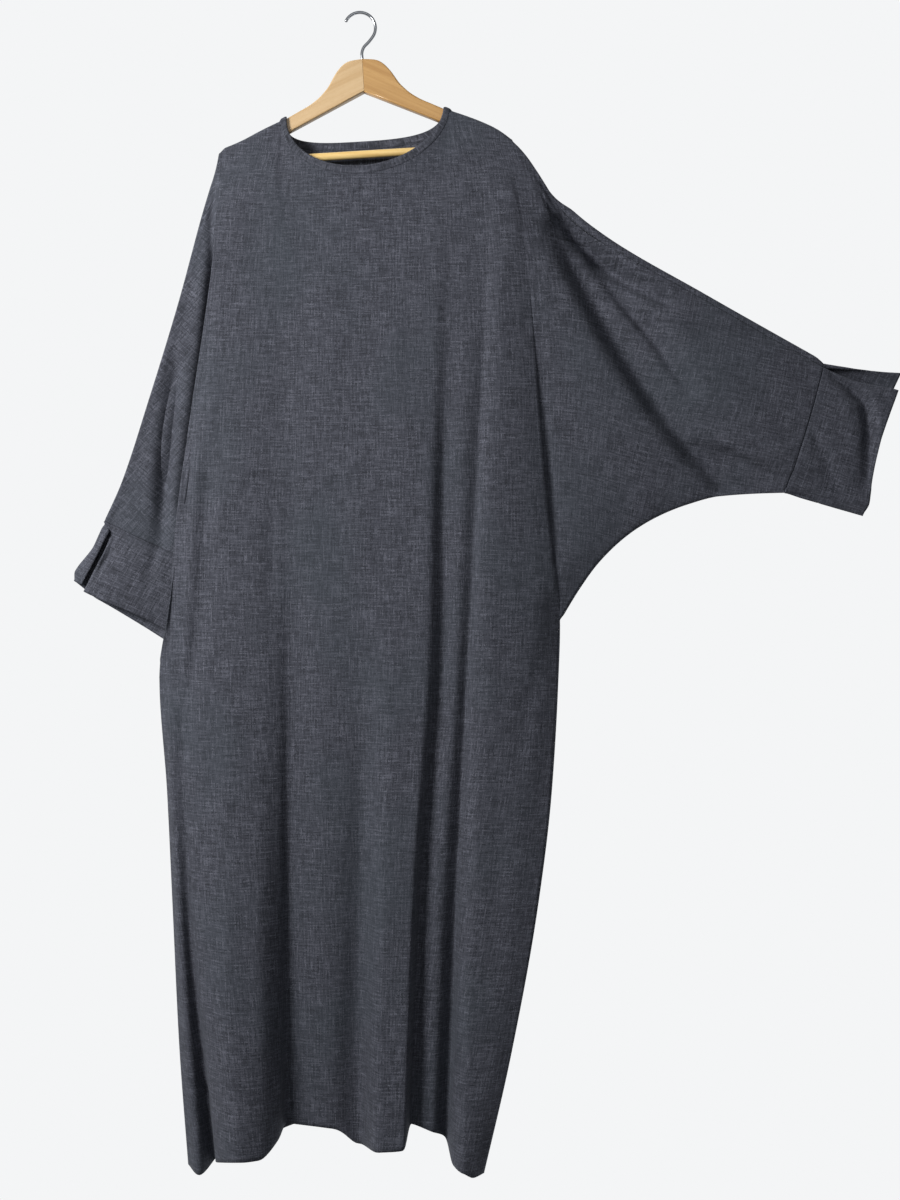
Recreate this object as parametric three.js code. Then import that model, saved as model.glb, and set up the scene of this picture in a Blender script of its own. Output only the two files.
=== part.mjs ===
// A batwing abaya hanging on a wooden clothes hanger, with one sleeve drawn out to the side and one hanging down.
// Units are millimetres: +X is to the viewer's right, -Y is the front of the garment and +Z is up.
// The origin is the point inside the crown of the hanger's hook that rests on a rail.
//
// The cloth is worked out as sheets without thickness. A sheet is a grid of rows from the shoulder to the hem, crossed
// by ribs that run down the crests and troughs of its folds, and each sleeve is a fan of sections from the tuck at the
// side of the body to the cuff seam. A last function gives every sheet its wall.

import * as THREE from "three";

// Driving sizes
const clothWall = 2;
const seamGap = 0.3;
const neckGap = 0.9;
const hangerHalfSpan = 205;
const hangerThickness = 12;
const hangerTilt = THREE.MathUtils.degToRad(3.5);
const hangerTop = { x: 3.5, z: -66 }; // top of the wood, where the hook goes in
const hookRadius = 20; // inside the hook
const hookWire = 4.5;
const barDiameter = 11;
const barDrop = 135; // from the top of the wood to the bar's centre
const neckHalfWidth = 116;
const neckDropFront = 84;
const neckDropBack = 38;
const bandWidth = 8.5;
const bandWall = 3;
const shoulderEnd = 210; // half the width of the shoulders, where the cloth leaves the hanger
const armpit = { left: -950, right: -868 }; // heights at the two sides

// How finely the sheets are divided
const perRib = 2; // grid columns from one rib to the next
const rowsAbove = 14; // rows from the shoulder to the armpit
const rowsBelow = 12; // rows from the armpit to the hem
const sleeveColumns = 11;
const cuffRings = 5;

// The sides of the body. Above the armpit they are the folded edges that overlap the sleeves, and below it they are
// the side seams. tuckLeft and tuckRight are how far the cloth is folded back behind those edges.
const sides = [
  { z: -170, left: -199, right: 219, tuckLeft: 0, tuckRight: 0 },
  { z: -265, left: -203, right: 228, tuckLeft: 0, tuckRight: 0 },
  { z: -340, left: -212, right: 237, tuckLeft: 6, tuckRight: 0 },
  { z: -460, left: -223, right: 247, tuckLeft: 22, tuckRight: 5 },
  { z: -560, left: -234, right: 254, tuckLeft: 40, tuckRight: 11 },
  { z: -680, left: -248, right: 264, tuckLeft: 62, tuckRight: 15 },
  { z: -790, left: -261, right: 275, tuckLeft: 76, tuckRight: 11 },
  { z: -868, left: -272, right: 286, tuckLeft: 52, tuckRight: 0 },
  { z: -950, left: -286, right: 283, tuckLeft: 0, tuckRight: 0 },
  { z: -1110, left: -275, right: 272, tuckLeft: 0, tuckRight: 0 },
  { z: -1270, left: -264, right: 255, tuckLeft: 0, tuckRight: 0 },
  { z: -1470, left: -253, right: 224, tuckLeft: 0, tuckRight: 0 },
  { z: -1650, left: -242, right: 178, tuckLeft: 0, tuckRight: 0 },
];

// How far forward the sides stand. The front and the back meet below the armpits.
const sideDepths = [
  { z: -340, frontLeft: 18, backLeft: -18, frontRight: 18, backRight: -18 },
  { z: -800, frontLeft: 20, backLeft: -17, frontRight: 17, backRight: -13 },
  { z: -868, frontLeft: 22, backLeft: -19, frontRight: 3, backRight: 3 },
  { z: -950, frontLeft: 3, backLeft: 3, frontRight: 3, backRight: 3 },
  { z: -960, frontLeft: 3, backLeft: 3, frontRight: 3, backRight: 3 },
  { z: -1270, frontLeft: 4, backLeft: 4, frontRight: 6, backRight: 6 },
  { z: -1650, frontLeft: 8, backLeft: 8, frontRight: 34, backRight: 34 },
];

// The heights at which the rib tables give a place and a depth.
const levels = { chest: -340, waist: -880, knee: -1270, hem: -1640 };

// Ribs of the front. top is the place along the shoulder and neck edge: -2 and 2 are the shoulder ends, -1 and 1 the
// neck corners and 0 the middle of the neck. chest, waist, knee and hem are x at those levels, outChest to outHem how
// far the cloth stands forward there, and low is where the rib meets the hem. The side ribs follow the sides.
const frontRibs = [
  { name: "left side", top: -2, low: -1650 },
  { name: "side roll", top: -1.86, chest: -205, waist: -268, knee: -256, hem: -232, outChest: 21, outWaist: 17, outKnee: 20, outHem: 28, low: -1655 },
  { name: "side trough", top: -1.7, chest: -197, waist: -255, knee: -246, hem: -217, outChest: 21, outWaist: 24, outKnee: 21, outHem: 17, low: -1640 },
  { name: "left lobe start", top: -1.45, chest: -186, waist: -235, knee: -224, hem: -204, outChest: 21, outWaist: 33, outKnee: 43, outHem: 60, low: -1620 },
  { name: "left lobe", top: -1.18, chest: -162, waist: -184, knee: -178, hem: -156, outChest: 20, outWaist: 39, outKnee: 66, outHem: 98, low: -1612 },
  { name: "left lobe end", top: -1, chest: -140, waist: -138, knee: -136, hem: -122, outChest: 19, outWaist: 36, outKnee: 58, outHem: 86, low: -1606 },
  { name: "left flank", top: -0.97, chest: -124, waist: -118, knee: -112, hem: -103, outChest: 18, outWaist: 32, outKnee: 42, outHem: 54, low: -1590 },
  { name: "left trough", top: -0.7, chest: -104, waist: -96, knee: -90, hem: -85, outChest: 18, outWaist: 30, outKnee: 33, outHem: 34, low: -1580 },
  { name: "middle panel", top: -0.42, chest: -70, waist: -62, knee: -58, hem: -52, outChest: 19, outWaist: 33, outKnee: 35, outHem: 30, low: -1578 },
  { name: "middle rise", top: -0.1, chest: -22, waist: -14, knee: -12, hem: -18, outChest: 20, outWaist: 37, outKnee: 46, outHem: 50, low: -1586 },
  { name: "middle lobe", top: 0.3, chest: 42, waist: 50, knee: 36, hem: 29, outChest: 21, outWaist: 41, outKnee: 65, outHem: 86, low: -1602 },
  { name: "middle lobe end", top: 0.6, chest: 78, waist: 94, knee: 73, hem: 62, outChest: 21, outWaist: 39, outKnee: 62, outHem: 84, low: -1599 },
  { name: "first pleat", top: 0.82, chest: 102, waist: 118, knee: 93, hem: 76, outChest: 18, outWaist: 23, outKnee: 29, outHem: 36, low: -1578 },
  { name: "pleat floor", top: 0.97, chest: 128, waist: 140, knee: 115, hem: 99, outChest: 19, outWaist: 31, outKnee: 36, outHem: 38, low: -1580 },
  { name: "second pleat", top: 1, chest: 152, waist: 154, knee: 129, hem: 117, outChest: 18, outWaist: 27, outKnee: 34, outHem: 44, low: -1586 },
  { name: "right lobe start", top: 1.18, chest: 168, waist: 168, knee: 144, hem: 130, outChest: 20, outWaist: 34, outKnee: 52, outHem: 76, low: -1608 },
  { name: "right lobe", top: 1.4, chest: 192, waist: 195, knee: 170, hem: 152, outChest: 22, outWaist: 39, outKnee: 70, outHem: 104, low: -1624 },
  { name: "right lobe end", top: 1.72, chest: 216, waist: 241, knee: 216, hem: 172, outChest: 22, outWaist: 31, outKnee: 52, outHem: 82, low: -1636 },
  { name: "right side", top: 2, low: -1645 },
];

// Ribs of the back, read as for the front. The outs are negative, because the back stands behind the hanger.
const backRibs = [
  { name: "left side", top: -2, low: -1650 },
  { name: "side roll", top: -1.8, chest: -203, waist: -264, knee: -252, hem: -228, outChest: -20, outWaist: -17, outKnee: -13, outHem: -14, low: -1648 },
  { name: "left crest", top: -1.4, chest: -182, waist: -226, knee: -214, hem: -188, outChest: -20, outWaist: -25, outKnee: -29, outHem: -38, low: -1636 },
  { name: "left trough", top: -1, chest: -142, waist: -158, knee: -148, hem: -132, outChest: -18, outWaist: -15, outKnee: -11, outHem: -8, low: -1618 },
  { name: "left panel", top: -0.97, chest: -104, waist: -106, knee: -98, hem: -88, outChest: -18, outWaist: -19, outKnee: -20, outHem: -24, low: -1612 },
  { name: "middle crest", top: -0.55, chest: -60, waist: -54, knee: -50, hem: -46, outChest: -19, outWaist: -24, outKnee: -31, outHem: -42, low: -1610 },
  { name: "middle trough", top: 0, chest: 4, waist: 8, knee: 6, hem: 0, outChest: -18, outWaist: -14, outKnee: -10, outHem: -6, low: -1608 },
  { name: "right panel", top: 0.55, chest: 70, waist: 68, knee: 58, hem: 46, outChest: -19, outWaist: -20, outKnee: -24, outHem: -30, low: -1612 },
  { name: "right crest", top: 0.97, chest: 122, waist: 124, knee: 104, hem: 84, outChest: -18, outWaist: -18, outKnee: -18, outHem: -20, low: -1616 },
  { name: "right trough", top: 1, chest: 160, waist: 174, knee: 150, hem: 118, outChest: -18, outWaist: -14, outKnee: -9, outHem: -4, low: -1624 },
  { name: "far crest", top: 1.5, chest: 196, waist: 222, knee: 200, hem: 148, outChest: -20, outWaist: -21, outKnee: -23, outHem: -22, low: -1636 },
  { name: "side roll", top: 1.82, chest: 222, waist: 266, knee: 238, hem: 170, outChest: -20, outWaist: -12, outKnee: -10, outHem: 6, low: -1642 },
  { name: "right side", top: 2, low: -1645 },
];

// The sleeve seams, from the body to the cuff seam. out is how far the seam stands forward.
const drawnSleeve = {
  side: 1,
  overarm: [
    { x: 219, z: -177, out: 0 },
    { x: 252, z: -226, out: 0 },
    { x: 288, z: -278, out: 4 },
    { x: 345, z: -326, out: 8 },
    { x: 486, z: -409, out: 9 },
    { x: 661, z: -507, out: 6 },
  ],
  underarm: [
    { x: 287, z: -868, out: 3 },
    { x: 315, z: -822, out: 2 },
    { x: 343, z: -784, out: 1 },
    { x: 386, z: -744, out: 0 },
    { x: 429, z: -718, out: 0 },
    { x: 472, z: -701, out: 0 },
    { x: 515, z: -690, out: 0 },
    { x: 572, z: -686, out: 0 },
    { x: 608, z: -685, out: 0 },
  ],
  swell: { front: 15, back: 17 }, // how far the two layers part halfway down the sleeve
  roll: 10, // how much of the back shows over the top of the arm, above the seam
  lean: 1,
};
const loweredSleeve = {
  side: -1,
  overarm: [
    { x: -199, z: -202, out: 0 },
    { x: -221, z: -272, out: 0 },
    { x: -264, z: -412, out: 0 },
    { x: -307, z: -553, out: 0 },
    { x: -344, z: -672, out: 0 },
    { x: -365, z: -726, out: 0 },
  ],
  underarm: [
    { x: -286, z: -950, out: 3 },
    { x: -256, z: -958, out: 3 },
    { x: -216, z: -938, out: 2 },
    { x: -184, z: -884, out: 1 },
    { x: -168, z: -838, out: 0 },
    { x: -168, z: -806, out: 0 },
    { x: -181, z: -794, out: 0 },
    { x: -193, z: -807, out: 0 },
  ],
  swell: { front: 9, back: 9 },
  roll: 0,
  lean: 0.7, // brings the fullest part of the sleeve towards its overarm
};

// Creases of the sleeves: the line each follows, its depth (negative goes in, as seen from its own side) and its reach.
const drawnCreases = [
  { name: "long drag", side: "front", path: [[283, -300], [318, -392], [360, -470], [416, -566], [470, -638], [516, -682]], depth: -12, reach: 16 },
  { name: "drag crest", side: "front", path: [[318, -318], [372, -420], [440, -520], [510, -596], [572, -650]], depth: 7, reach: 26 },
  { name: "overarm hollow", side: "front", path: [[306, -300], [352, -352], [402, -384], [450, -402]], depth: -8, reach: 11 },
  { name: "short drag", side: "front", path: [[362, -392], [402, -436], [444, -478]], depth: -5, reach: 10 },
  { name: "back drag", side: "back", path: [[300, -330], [372, -400], [470, -480], [560, -560]], depth: -7, reach: 18 },
  { name: "back crest", side: "back", path: [[310, -400], [380, -500], [460, -600]], depth: 5, reach: 26 },
];
const loweredCreases = [
  { name: "hanging trough", side: "front", path: [[-262, -520], [-276, -610], [-281, -690], [-284, -750]], depth: -8, reach: 11 },
  { name: "hanging crest", side: "front", path: [[-250, -470], [-258, -600], [-264, -720]], depth: 5, reach: 9 },
  { name: "back trough", side: "back", path: [[-252, -480], [-280, -600], [-300, -720]], depth: -7, reach: 13 },
];

// The open ends of the cuffs: the two corners of the slit at the overarm, and the fold at the underarm.
const drawnCuffEnd = {
  frontCorner: { x: 766, z: -541, out: 13 },
  backCorner: { x: 772, z: -519, out: -13 },
  fold: { x: 727, z: -718, out: 0 },
  swell: { front: 15, back: 15 },
  lean: 1,
  frontSag: 9,
};
const loweredCuffEnd = {
  frontCorner: { x: -393, z: -826, out: 10 },
  backCorner: { x: -407, z: -818, out: -10 },
  fold: { x: -250, z: -906, out: 0 },
  swell: { front: 10, back: 10 },
  lean: 0.6,
  frontSag: 4,
};
const slitSpread = 12; // how far the slit's front edge has drawn back, halfway along it
const slitParting = 1.4; // half of what parts the slit's edges where it ends
const cuffGap = 0.4;

// ---- Curves through tables ----

const lerp = THREE.MathUtils.lerp;
const smooth = (x) => THREE.MathUtils.smoothstep(x, 0, 1);

// A smooth curve through values given at rising keys, which doesn't swing past them and is held level past its ends.
function curveThrough(keys, values) {
  const last = keys.length - 1;
  const rise = (i) => (values[i + 1] - values[i]) / (keys[i + 1] - keys[i]);
  const slopes = keys.map((_, i) => {
    if (i === 0) return rise(0);
    if (i === last) return rise(last - 1);
    const [before, after] = [rise(i - 1), rise(i)];
    return before * after > 0 ? (2 * before * after) / (before + after) : 0;
  });
  return (at) => {
    if (at <= keys[0]) return values[0];
    if (at >= keys[last]) return values[last];
    let i = 0;
    while (at > keys[i + 1]) i++;
    const step = keys[i + 1] - keys[i];
    const t = (at - keys[i]) / step;
    const a = 2 * t ** 3 - 3 * t ** 2 + 1;
    const b = t ** 3 - 2 * t ** 2 + t;
    return a * values[i] + b * step * slopes[i] + (1 - a) * values[i + 1] + (t ** 3 - t ** 2) * step * slopes[i + 1];
  };
}

// The named column of a table of rows, as a curve over the column that is its key.
const column = (rows, key, name, sign = 1) =>
  curveThrough(
    rows.map((row) => sign * row[key]),
    rows.map((row) => row[name]),
  );

const sideCurve = Object.fromEntries(
  ["left", "right", "tuckLeft", "tuckRight"].map((name) => [name, column(sides, "z", name, -1)]),
);
const sideAt = (name, z) => sideCurve[name](-z);
const depthCurve = Object.fromEntries(
  ["frontLeft", "backLeft", "frontRight", "backRight"].map((name) => [name, column(sideDepths, "z", name, -1)]),
);

// A seam given by its points, by the share of its length from the body (0) to the cuff (1).
function seamCurve(points) {
  const run = [0];
  for (let i = 1; i < points.length; i++) {
    run.push(run[i - 1] + Math.hypot(points[i].x - points[i - 1].x, points[i].z - points[i - 1].z));
  }
  const keys = run.map((length) => length / run[run.length - 1]);
  const curves = ["x", "z", "out"].map((name) => curveThrough(keys, points.map((point) => point[name])));
  return (at) => ({ x: curves[0](at), z: curves[1](at), out: curves[2](at) });
}

// ---- The hanger's own frame, tilted about the top of the wood ----

const tilted = (x, z) => ({
  x: hangerTop.x + x * Math.cos(hangerTilt) - z * Math.sin(hangerTilt),
  z: hangerTop.z + x * Math.sin(hangerTilt) + z * Math.cos(hangerTilt),
});

const armSlope = -0.494; // of the arm's straight part
const armNeck = { x: neckHalfWidth, z: -80 }; // where the straight part passes under the neck corner
const clothOnArm = bandWall / 2 + seamGap; // from the wood to the middle of the cloth that rests on it

// The cloth's way over the top of the hanger: how far it is below its highest line and how far out from it.
const overShoulder = [
  { below: 0, out: 0 },
  { below: 0.3, out: 4.6 },
  { below: 2.7, out: 7.8 },
  { below: 7, out: 8.8 },
  { below: 16, out: 9.2 },
];
const overArm = overShoulder[overShoulder.length - 1].out;

const shoulderHeight = (x) => armNeck.z + armSlope * (Math.abs(x) - armNeck.x) + clothOnArm;

// The neck edge, offset outwards by grow: share -1 and 1 are the shoulder seams, and 0 is the middle. facing is 1 for
// the front and -1 for the back. The first stretch goes level over the top of the hanger's arm, then down the neck.
const neckOverArm = 0.03;
const neckTurnIn = 0.965; // what is left of the half width where the edge comes off the arm
const neckStandOff = { front: 24, back: 19 };
function neckPoint(share, grow, facing) {
  const inward = 1 - Math.abs(share);
  const over = Math.min(inward / neckOverArm, 1);
  const turn = (Math.max(inward - neckOverArm, 0) / (1 - neckOverArm)) * (Math.PI / 2);
  const drop = (facing > 0 ? neckDropFront : neckDropBack) + grow;
  const power = facing > 0 ? 1 : 2 / 3; // the back of the neck is flatter than an ellipse
  const corner = (neckHalfWidth + grow) * lerp(1, neckTurnIn, over);
  const down = Math.sin(turn) ** power;
  const stand = facing > 0 ? neckStandOff.front : neckStandOff.back;
  const at = tilted(
    Math.sign(share) * corner * Math.cos(turn) ** power,
    shoulderHeight(corner) - drop * down,
  );
  return { x: at.x, z: at.z, out: facing * lerp(over * overArm, stand, smooth(down) * over) };
}

// The direction from the neck band to the cloth at its edge.
function awayFromNeck(share, facing) {
  const [near, far] = [0, bandWidth].map((grow) => neckPoint(share, grow, facing));
  return new THREE.Vector3(far.x - near.x, near.out - far.out, far.z - near.z).normalize();
}

function topPoint(share, facing) {
  if (Math.abs(share) <= 1) return neckPoint(share, bandWidth + neckGap, facing);
  const neckCorner = neckHalfWidth + bandWidth + neckGap;
  const x = Math.sign(share) * lerp(neckCorner, shoulderEnd, Math.abs(share) - 1);
  return { ...tilted(x, shoulderHeight(x)), out: 0 };
}

// ---- Sheets ----

// A sheet collects points and four-sided faces. across is set on a point of a seam, and is the direction in which the
// two sheets that meet there are parted.
class Sheet {
  constructor() {
    this.points = [];
    this.faces = [];
  }
  add({ x, z, out }, across) {
    this.points.push({ at: new THREE.Vector3(x, -out, z), across });
    return this.points.length - 1;
  }
  // Joins a grid of point numbers, grid[row][column], into faces that look towards -Y where rows run down and columns
  // run to the right. turned makes them look the other way.
  join(grid, turned) {
    for (let r = 0; r + 1 < grid.length; r++) {
      for (let c = 0; c + 1 < grid[r].length; c++) {
        const face = [grid[r][c], grid[r + 1][c], grid[r + 1][c + 1], grid[r][c + 1]];
        this.faces.push(turned ? face.reverse() : face);
      }
    }
  }
}

// The closed wall of a sheet, half its thickness to each side of it.
function wallGeometry(sheet, thickness) {
  const normals = sheet.points.map(() => new THREE.Vector3());
  const triangles = sheet.faces.flatMap(([a, b, c, d]) => [[a, b, c], [a, c, d]]);
  for (const [a, b, c] of triangles) {
    const [p, q, r] = [a, b, c].map((i) => sheet.points[i].at);
    const normal = q.clone().sub(p).cross(r.clone().sub(p));
    for (const i of [a, b, c]) normals[i].add(normal);
  }
  const positions = [];
  for (const facing of [1, -1]) {
    sheet.points.forEach(({ at, across }, i) => {
      const normal = normals[i].clone();
      if (across) normal.addScaledVector(across, -normal.dot(across) / across.lengthSq());
      normal.normalize();
      const place = at.clone().addScaledVector(normal, (facing * thickness) / 2);
      if (across) place.addScaledVector(across, seamGap / 2);
      positions.push(place.x, place.y, place.z);
    });
  }
  const back = sheet.points.length;
  const index = [];
  const open = new Map();
  for (const [a, b, c] of triangles) {
    index.push(a, b, c, back + a, back + c, back + b);
  }
  for (const face of sheet.faces) {
    face.forEach((a, i) => {
      const b = face[(i + 1) % face.length];
      if (!open.delete(`${b},${a}`)) open.set(`${a},${b}`, [a, b]);
    });
  }
  for (const [a, b] of open.values()) {
    index.push(b, a, back + a, b, back + a, back + b);
  }
  const geometry = new THREE.BufferGeometry();
  geometry.setAttribute("position", new THREE.Float32BufferAttribute(positions, 3));
  geometry.setIndex(index);
  return geometry;
}

// ---- Front and back ----

// Values at whole ribs, spread over perRib columns from each rib to the next.
function spread(values, smoothly) {
  const keys = values.map((_, i) => i);
  const curve = curveThrough(keys, values);
  const out = [];
  for (let c = 0; c <= (values.length - 1) * perRib; c++) {
    const at = c / perRib;
    const i = Math.min(Math.floor(at), values.length - 2);
    out.push(smoothly ? curve(at) : lerp(values[i], values[i + 1], at - i));
  }
  return out;
}

// x and out of every column at a height, from the ribs.
function sectionAt(ribs, facing, z) {
  const names = Object.keys(levels);
  const keys = names.map((name) => -levels[name]);
  const panelName = facing > 0 ? "front" : "back";
  const xs = ribs.map((rib, i) => {
    if (i === 0) return sideAt("left", z);
    if (i === ribs.length - 1) return sideAt("right", z);
    return curveThrough(keys, names.map((name) => rib[name]))(-z);
  });
  const outs = ribs.map((rib, i) => {
    if (i === 0) return depthCurve[`${panelName}Left`](-z);
    if (i === ribs.length - 1) return depthCurve[`${panelName}Right`](-z);
    return curveThrough(keys, [rib.outChest, rib.outWaist, rib.outKnee, rib.outHem])(-z);
  });
  return { x: spread(xs, false), out: spread(outs, true) };
}

const chestFade = 150; // the height below the shoulder over which the folds take over from the shoulder's form

function bodyPoint(ribs, facing, tops, lows, c, row) {
  const top = topPoint(tops[c], facing);
  const share = c / (tops.length - 1);
  const armpitHeight = lerp(armpit.left, armpit.right, share);
  let z;
  const turned = overShoulder.length - 1;
  if (row <= turned) z = top.z - overShoulder[row].below;
  else if (row <= rowsAbove) {
    const start = top.z - overShoulder[turned].below;
    z = lerp(start, armpitHeight, ((row - turned) / (rowsAbove - turned)) ** 1.15);
  } else z = lerp(armpitHeight, lows[c], (row - rowsAbove) / rowsBelow);
  const below = top.z - z;
  const section = sectionAt(ribs, facing, z);
  const fade = smooth(below / chestFade);
  const clear = overShoulder[Math.min(row, turned)].out;
  const near = facing * Math.max(facing * top.out, clear);
  return {
    x: lerp(top.x, section.x[c], smooth(below / (chestFade * 0.8))),
    z,
    out: lerp(near, section.out[c], fade),
  };
}

// A sleeve: first the fold that tucks the cloth behind the edge of the body, then the fan of sections to the cuff.
function creaseDepth(creases, facing, x, z) {
  let depth = 0;
  for (const crease of creases) {
    if ((crease.side === "front") !== facing > 0) continue;
    const path = crease.path;
    let nearest = Infinity;
    let along = 0;
    path.slice(1).forEach(([bx, bz], i) => {
      const [ax, az] = path[i];
      const t = THREE.MathUtils.clamp(
        ((x - ax) * (bx - ax) + (z - az) * (bz - az)) / ((bx - ax) ** 2 + (bz - az) ** 2), 0, 1);
      const away = Math.hypot(x - lerp(ax, bx, t), z - lerp(az, bz, t));
      if (away < nearest) {
        nearest = away;
        along = (i + t) / (path.length - 1);
      }
    });
    const fade = Math.sin(Math.PI * lerp(0.12, 0.88, along));
    depth += crease.depth * fade * Math.exp(-((nearest / crease.reach) ** 2));
  }
  return depth;
}

// The cloth's way from the folded edge of the body back to the crease where the sleeve begins: the share of the seams'
// length, how far it rounds out, the share of the tuck it has gone in, and the share of the depth it has gone back.
const rootSteps = [
  { at: 0.002, lip: 1.5, tucked: 0, back: 0.24 },
  { at: 0.004, lip: 0, tucked: 0.5, back: 0.36 },
  { at: 0.006, lip: 0, tucked: 0.94, back: 0.42 },
  { at: 0.008, lip: 0, tucked: 1, back: 0.55 },
];
const rootAt = rootSteps[rootSteps.length - 1].at;

function sleevePoints(sheet, sleeve, creases, facing, edge, rows) {
  const overarm = seamCurve(sleeve.overarm);
  const underarm = seamCurve(sleeve.underarm);
  const tuckName = sleeve.side > 0 ? "tuckRight" : "tuckLeft";
  const [from, to] = [0, 1].map((at) => [overarm(at), underarm(at)]);
  const grid = [];
  for (let row = 0; row <= rows; row++) {
    const start = edge[row];
    const share = rows === 0 ? 0 : THREE.MathUtils.clamp((from[0].z - start.z) / (from[0].z - from[1].z), 0, 1);
    const tuck = sideAt(tuckName, start.z);
    const folded = smooth(tuck / 12);
    const spare = (start.out - from[1].out) * folded;
    const line = rootSteps.map(({ at, lip, tucked, back }) => {
      const [top, bottom] = [overarm(at), underarm(at)];
      return {
        x: start.x + lerp(top.x - from[0].x, bottom.x - from[1].x, share) + sleeve.side * (lip * folded - tucked * tuck),
        z: start.z + lerp(top.z - from[0].z, bottom.z - from[1].z, share),
        out: start.out + lerp(top.out - from[0].out, bottom.out - from[1].out, share) - spare * back,
      };
    });
    const root = line[line.length - 1];
    const begin = [overarm(rootAt), underarm(rootAt)];
    for (let k = 1; k <= sleeveColumns; k++) {
      const s = (k / sleeveColumns) ** 0.92;
      const top = overarm(lerp(rootAt, 1, s));
      const bottom = underarm(lerp(rootAt, 1, s));
      const end = (name) => lerp(to[0][name], to[1][name], share);
      const patch = (name) =>
        lerp(top[name], bottom[name], share) + lerp(root[name], end(name), s) -
        lerp(lerp(begin[0][name], begin[1][name], share), end(name), s);
      const place = { x: patch("x"), z: patch("z"), out: 0 };
      if (row === 0 || row === rows) {
        const seam = row === 0 ? top : bottom;
        line.push({ x: seam.x, z: seam.z, out: seam.out });
        continue;
      }
      const full = (facing > 0 ? sleeve.swell.front : sleeve.swell.back) *
        Math.sin(Math.PI * share ** sleeve.lean) ** 0.6;
      const plain = sleeve.roll > 0 ? 1 - rolledShare(top) : 1;
      const rounded = overShoulder[Math.min(row, overShoulder.length - 1)].out * sleeveRound * plain;
      const swell = Math.max(full, row < overShoulder.length ? rounded : 0);
      const behind = facing < 0 && sleeve.roll > 0 ? rollDepth * rolledShare(top) : 0;
      const seams = lerp(top.out - behind, bottom.out, share);
      const settled = facing * swell + seams;
      const merge = smooth(s * (row < overShoulder.length ? 7 : 2.5));
      place.out = lerp(root.out, settled, merge) + facing * creaseDepth(creases, facing, place.x, place.z) * merge;
      line.push(place);
    }
    grid.push(line);
  }
  return grid;
}

// The overarm seam leaves the top of the shoulder and comes round to the front within rollRun of rollStart.
const rollStart = 262;
const rollRun = 72;
const rollDepth = 13; // how far behind the seam the back comes down
const sleeveRound = 0.6; // the roundness of a sleeve's overarm, to that of the shoulder
const rolledShare = (point) => smooth((point.x - rollStart) / rollRun);

// Raises the first rows of the back so that they roll over the top of the drawn-out arm to the seam on its front.
function rollOverarm(grid, height) {
  const last = grid[0].length - 1;
  grid[0].forEach((seam, c) => {
    const before = grid[0][Math.max(c - 1, 0)];
    const after = grid[0][Math.min(c + 1, last)];
    const run = Math.hypot(after.x - before.x, after.z - before.z) || 1;
    const up = { x: -(after.z - before.z) / run, z: (after.x - before.x) / run };
    const share = rolledShare(seam);
    if (share <= 0) return;
    const amount = height * share * smooth((last - c) / 1.5 + 0.3);
    const steps = [
      { row: 0, rise: 0.12, back: 0.4 },
      { row: 1, rise: 0.7, back: 0.5 },
      { row: 2, rise: 1, back: 4 },
      { row: 3, rise: 0.8, back: 9 },
      { row: 4, rise: 0.1, back: rollDepth },
    ];
    for (const { row, rise, back } of steps) {
      const point = grid[row][c];
      point.x = lerp(point.x, seam.x + up.x * amount * rise, share);
      point.z = lerp(point.z, seam.z + up.z * amount * rise, share);
      point.out = lerp(point.out, seam.out - back, share);
    }
  });
}

// The direction from the front to the back across a seam: backwards, or upwards where the back rolls over the arm.
function acrossOverarm(sleeve, point) {
  const rolled = sleeve.roll > 0 ? rolledShare(point) : 0;
  return new THREE.Vector3(0.5 * rolled, 1 - rolled, 0.86 * rolled).normalize().multiplyScalar(1 + 2 * rolled);
}

const straightBack = new THREE.Vector3(0, 1, 0);

// Makes the front or the back, and returns the sheet with its two cuff edges, each from the overarm to the underarm.
function panel(ribs, facing) {
  const sheet = new Sheet();
  const tops = spread(ribs.map((rib) => rib.top), false);
  const lows = spread(ribs.map((rib) => rib.low), true);
  const columns = tops.length - 1;
  const side = (vector) => vector.clone().multiplyScalar(-facing);
  const rows = rowsAbove + rowsBelow;
  const body = [];
  for (let row = 0; row <= rows; row++) {
    body.push(tops.map((_, c) => bodyPoint(ribs, facing, tops, lows, c, row)));
  }
  const numbers = body.map((line, row) =>
    line.map((point, c) => {
      if (row === 0 && Math.abs(tops[c]) < 1) return sheet.add(point, awayFromNeck(tops[c], facing));
      const onShoulder = row === 0;
      const onSide = (c === 0 || c === columns) && row >= rowsAbove;
      return sheet.add(point, onShoulder || onSide ? side(straightBack) : undefined);
    }),
  );
  sheet.join(numbers, facing < 0);
  const cuffEdges = [];
  for (const [sleeve, creases, c] of [[loweredSleeve, loweredCreases, 0], [drawnSleeve, drawnCreases, columns]]) {
    const edge = body.map((line) => line[c]);
    const grid = sleevePoints(sheet, sleeve, creases, facing, edge, rowsAbove);
    if (facing < 0 && sleeve.roll > 0) rollOverarm(grid, sleeve.roll);
    const joined = grid.map((line, row) => {
      const made = line.map((point) => {
        if (row === 0) return sheet.add(point, side(acrossOverarm(sleeve, point)));
        return sheet.add(point, row === rowsAbove ? side(straightBack) : undefined);
      });
      return [numbers[row][c], ...made];
    });
    sheet.join(joined, (facing < 0) !== (sleeve.side < 0));
    cuffEdges.push(grid.map((line) => line[line.length - 1]));
  }
  return { sheet, tops, cuffEdges };
}

// ---- Cuffs ----

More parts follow.
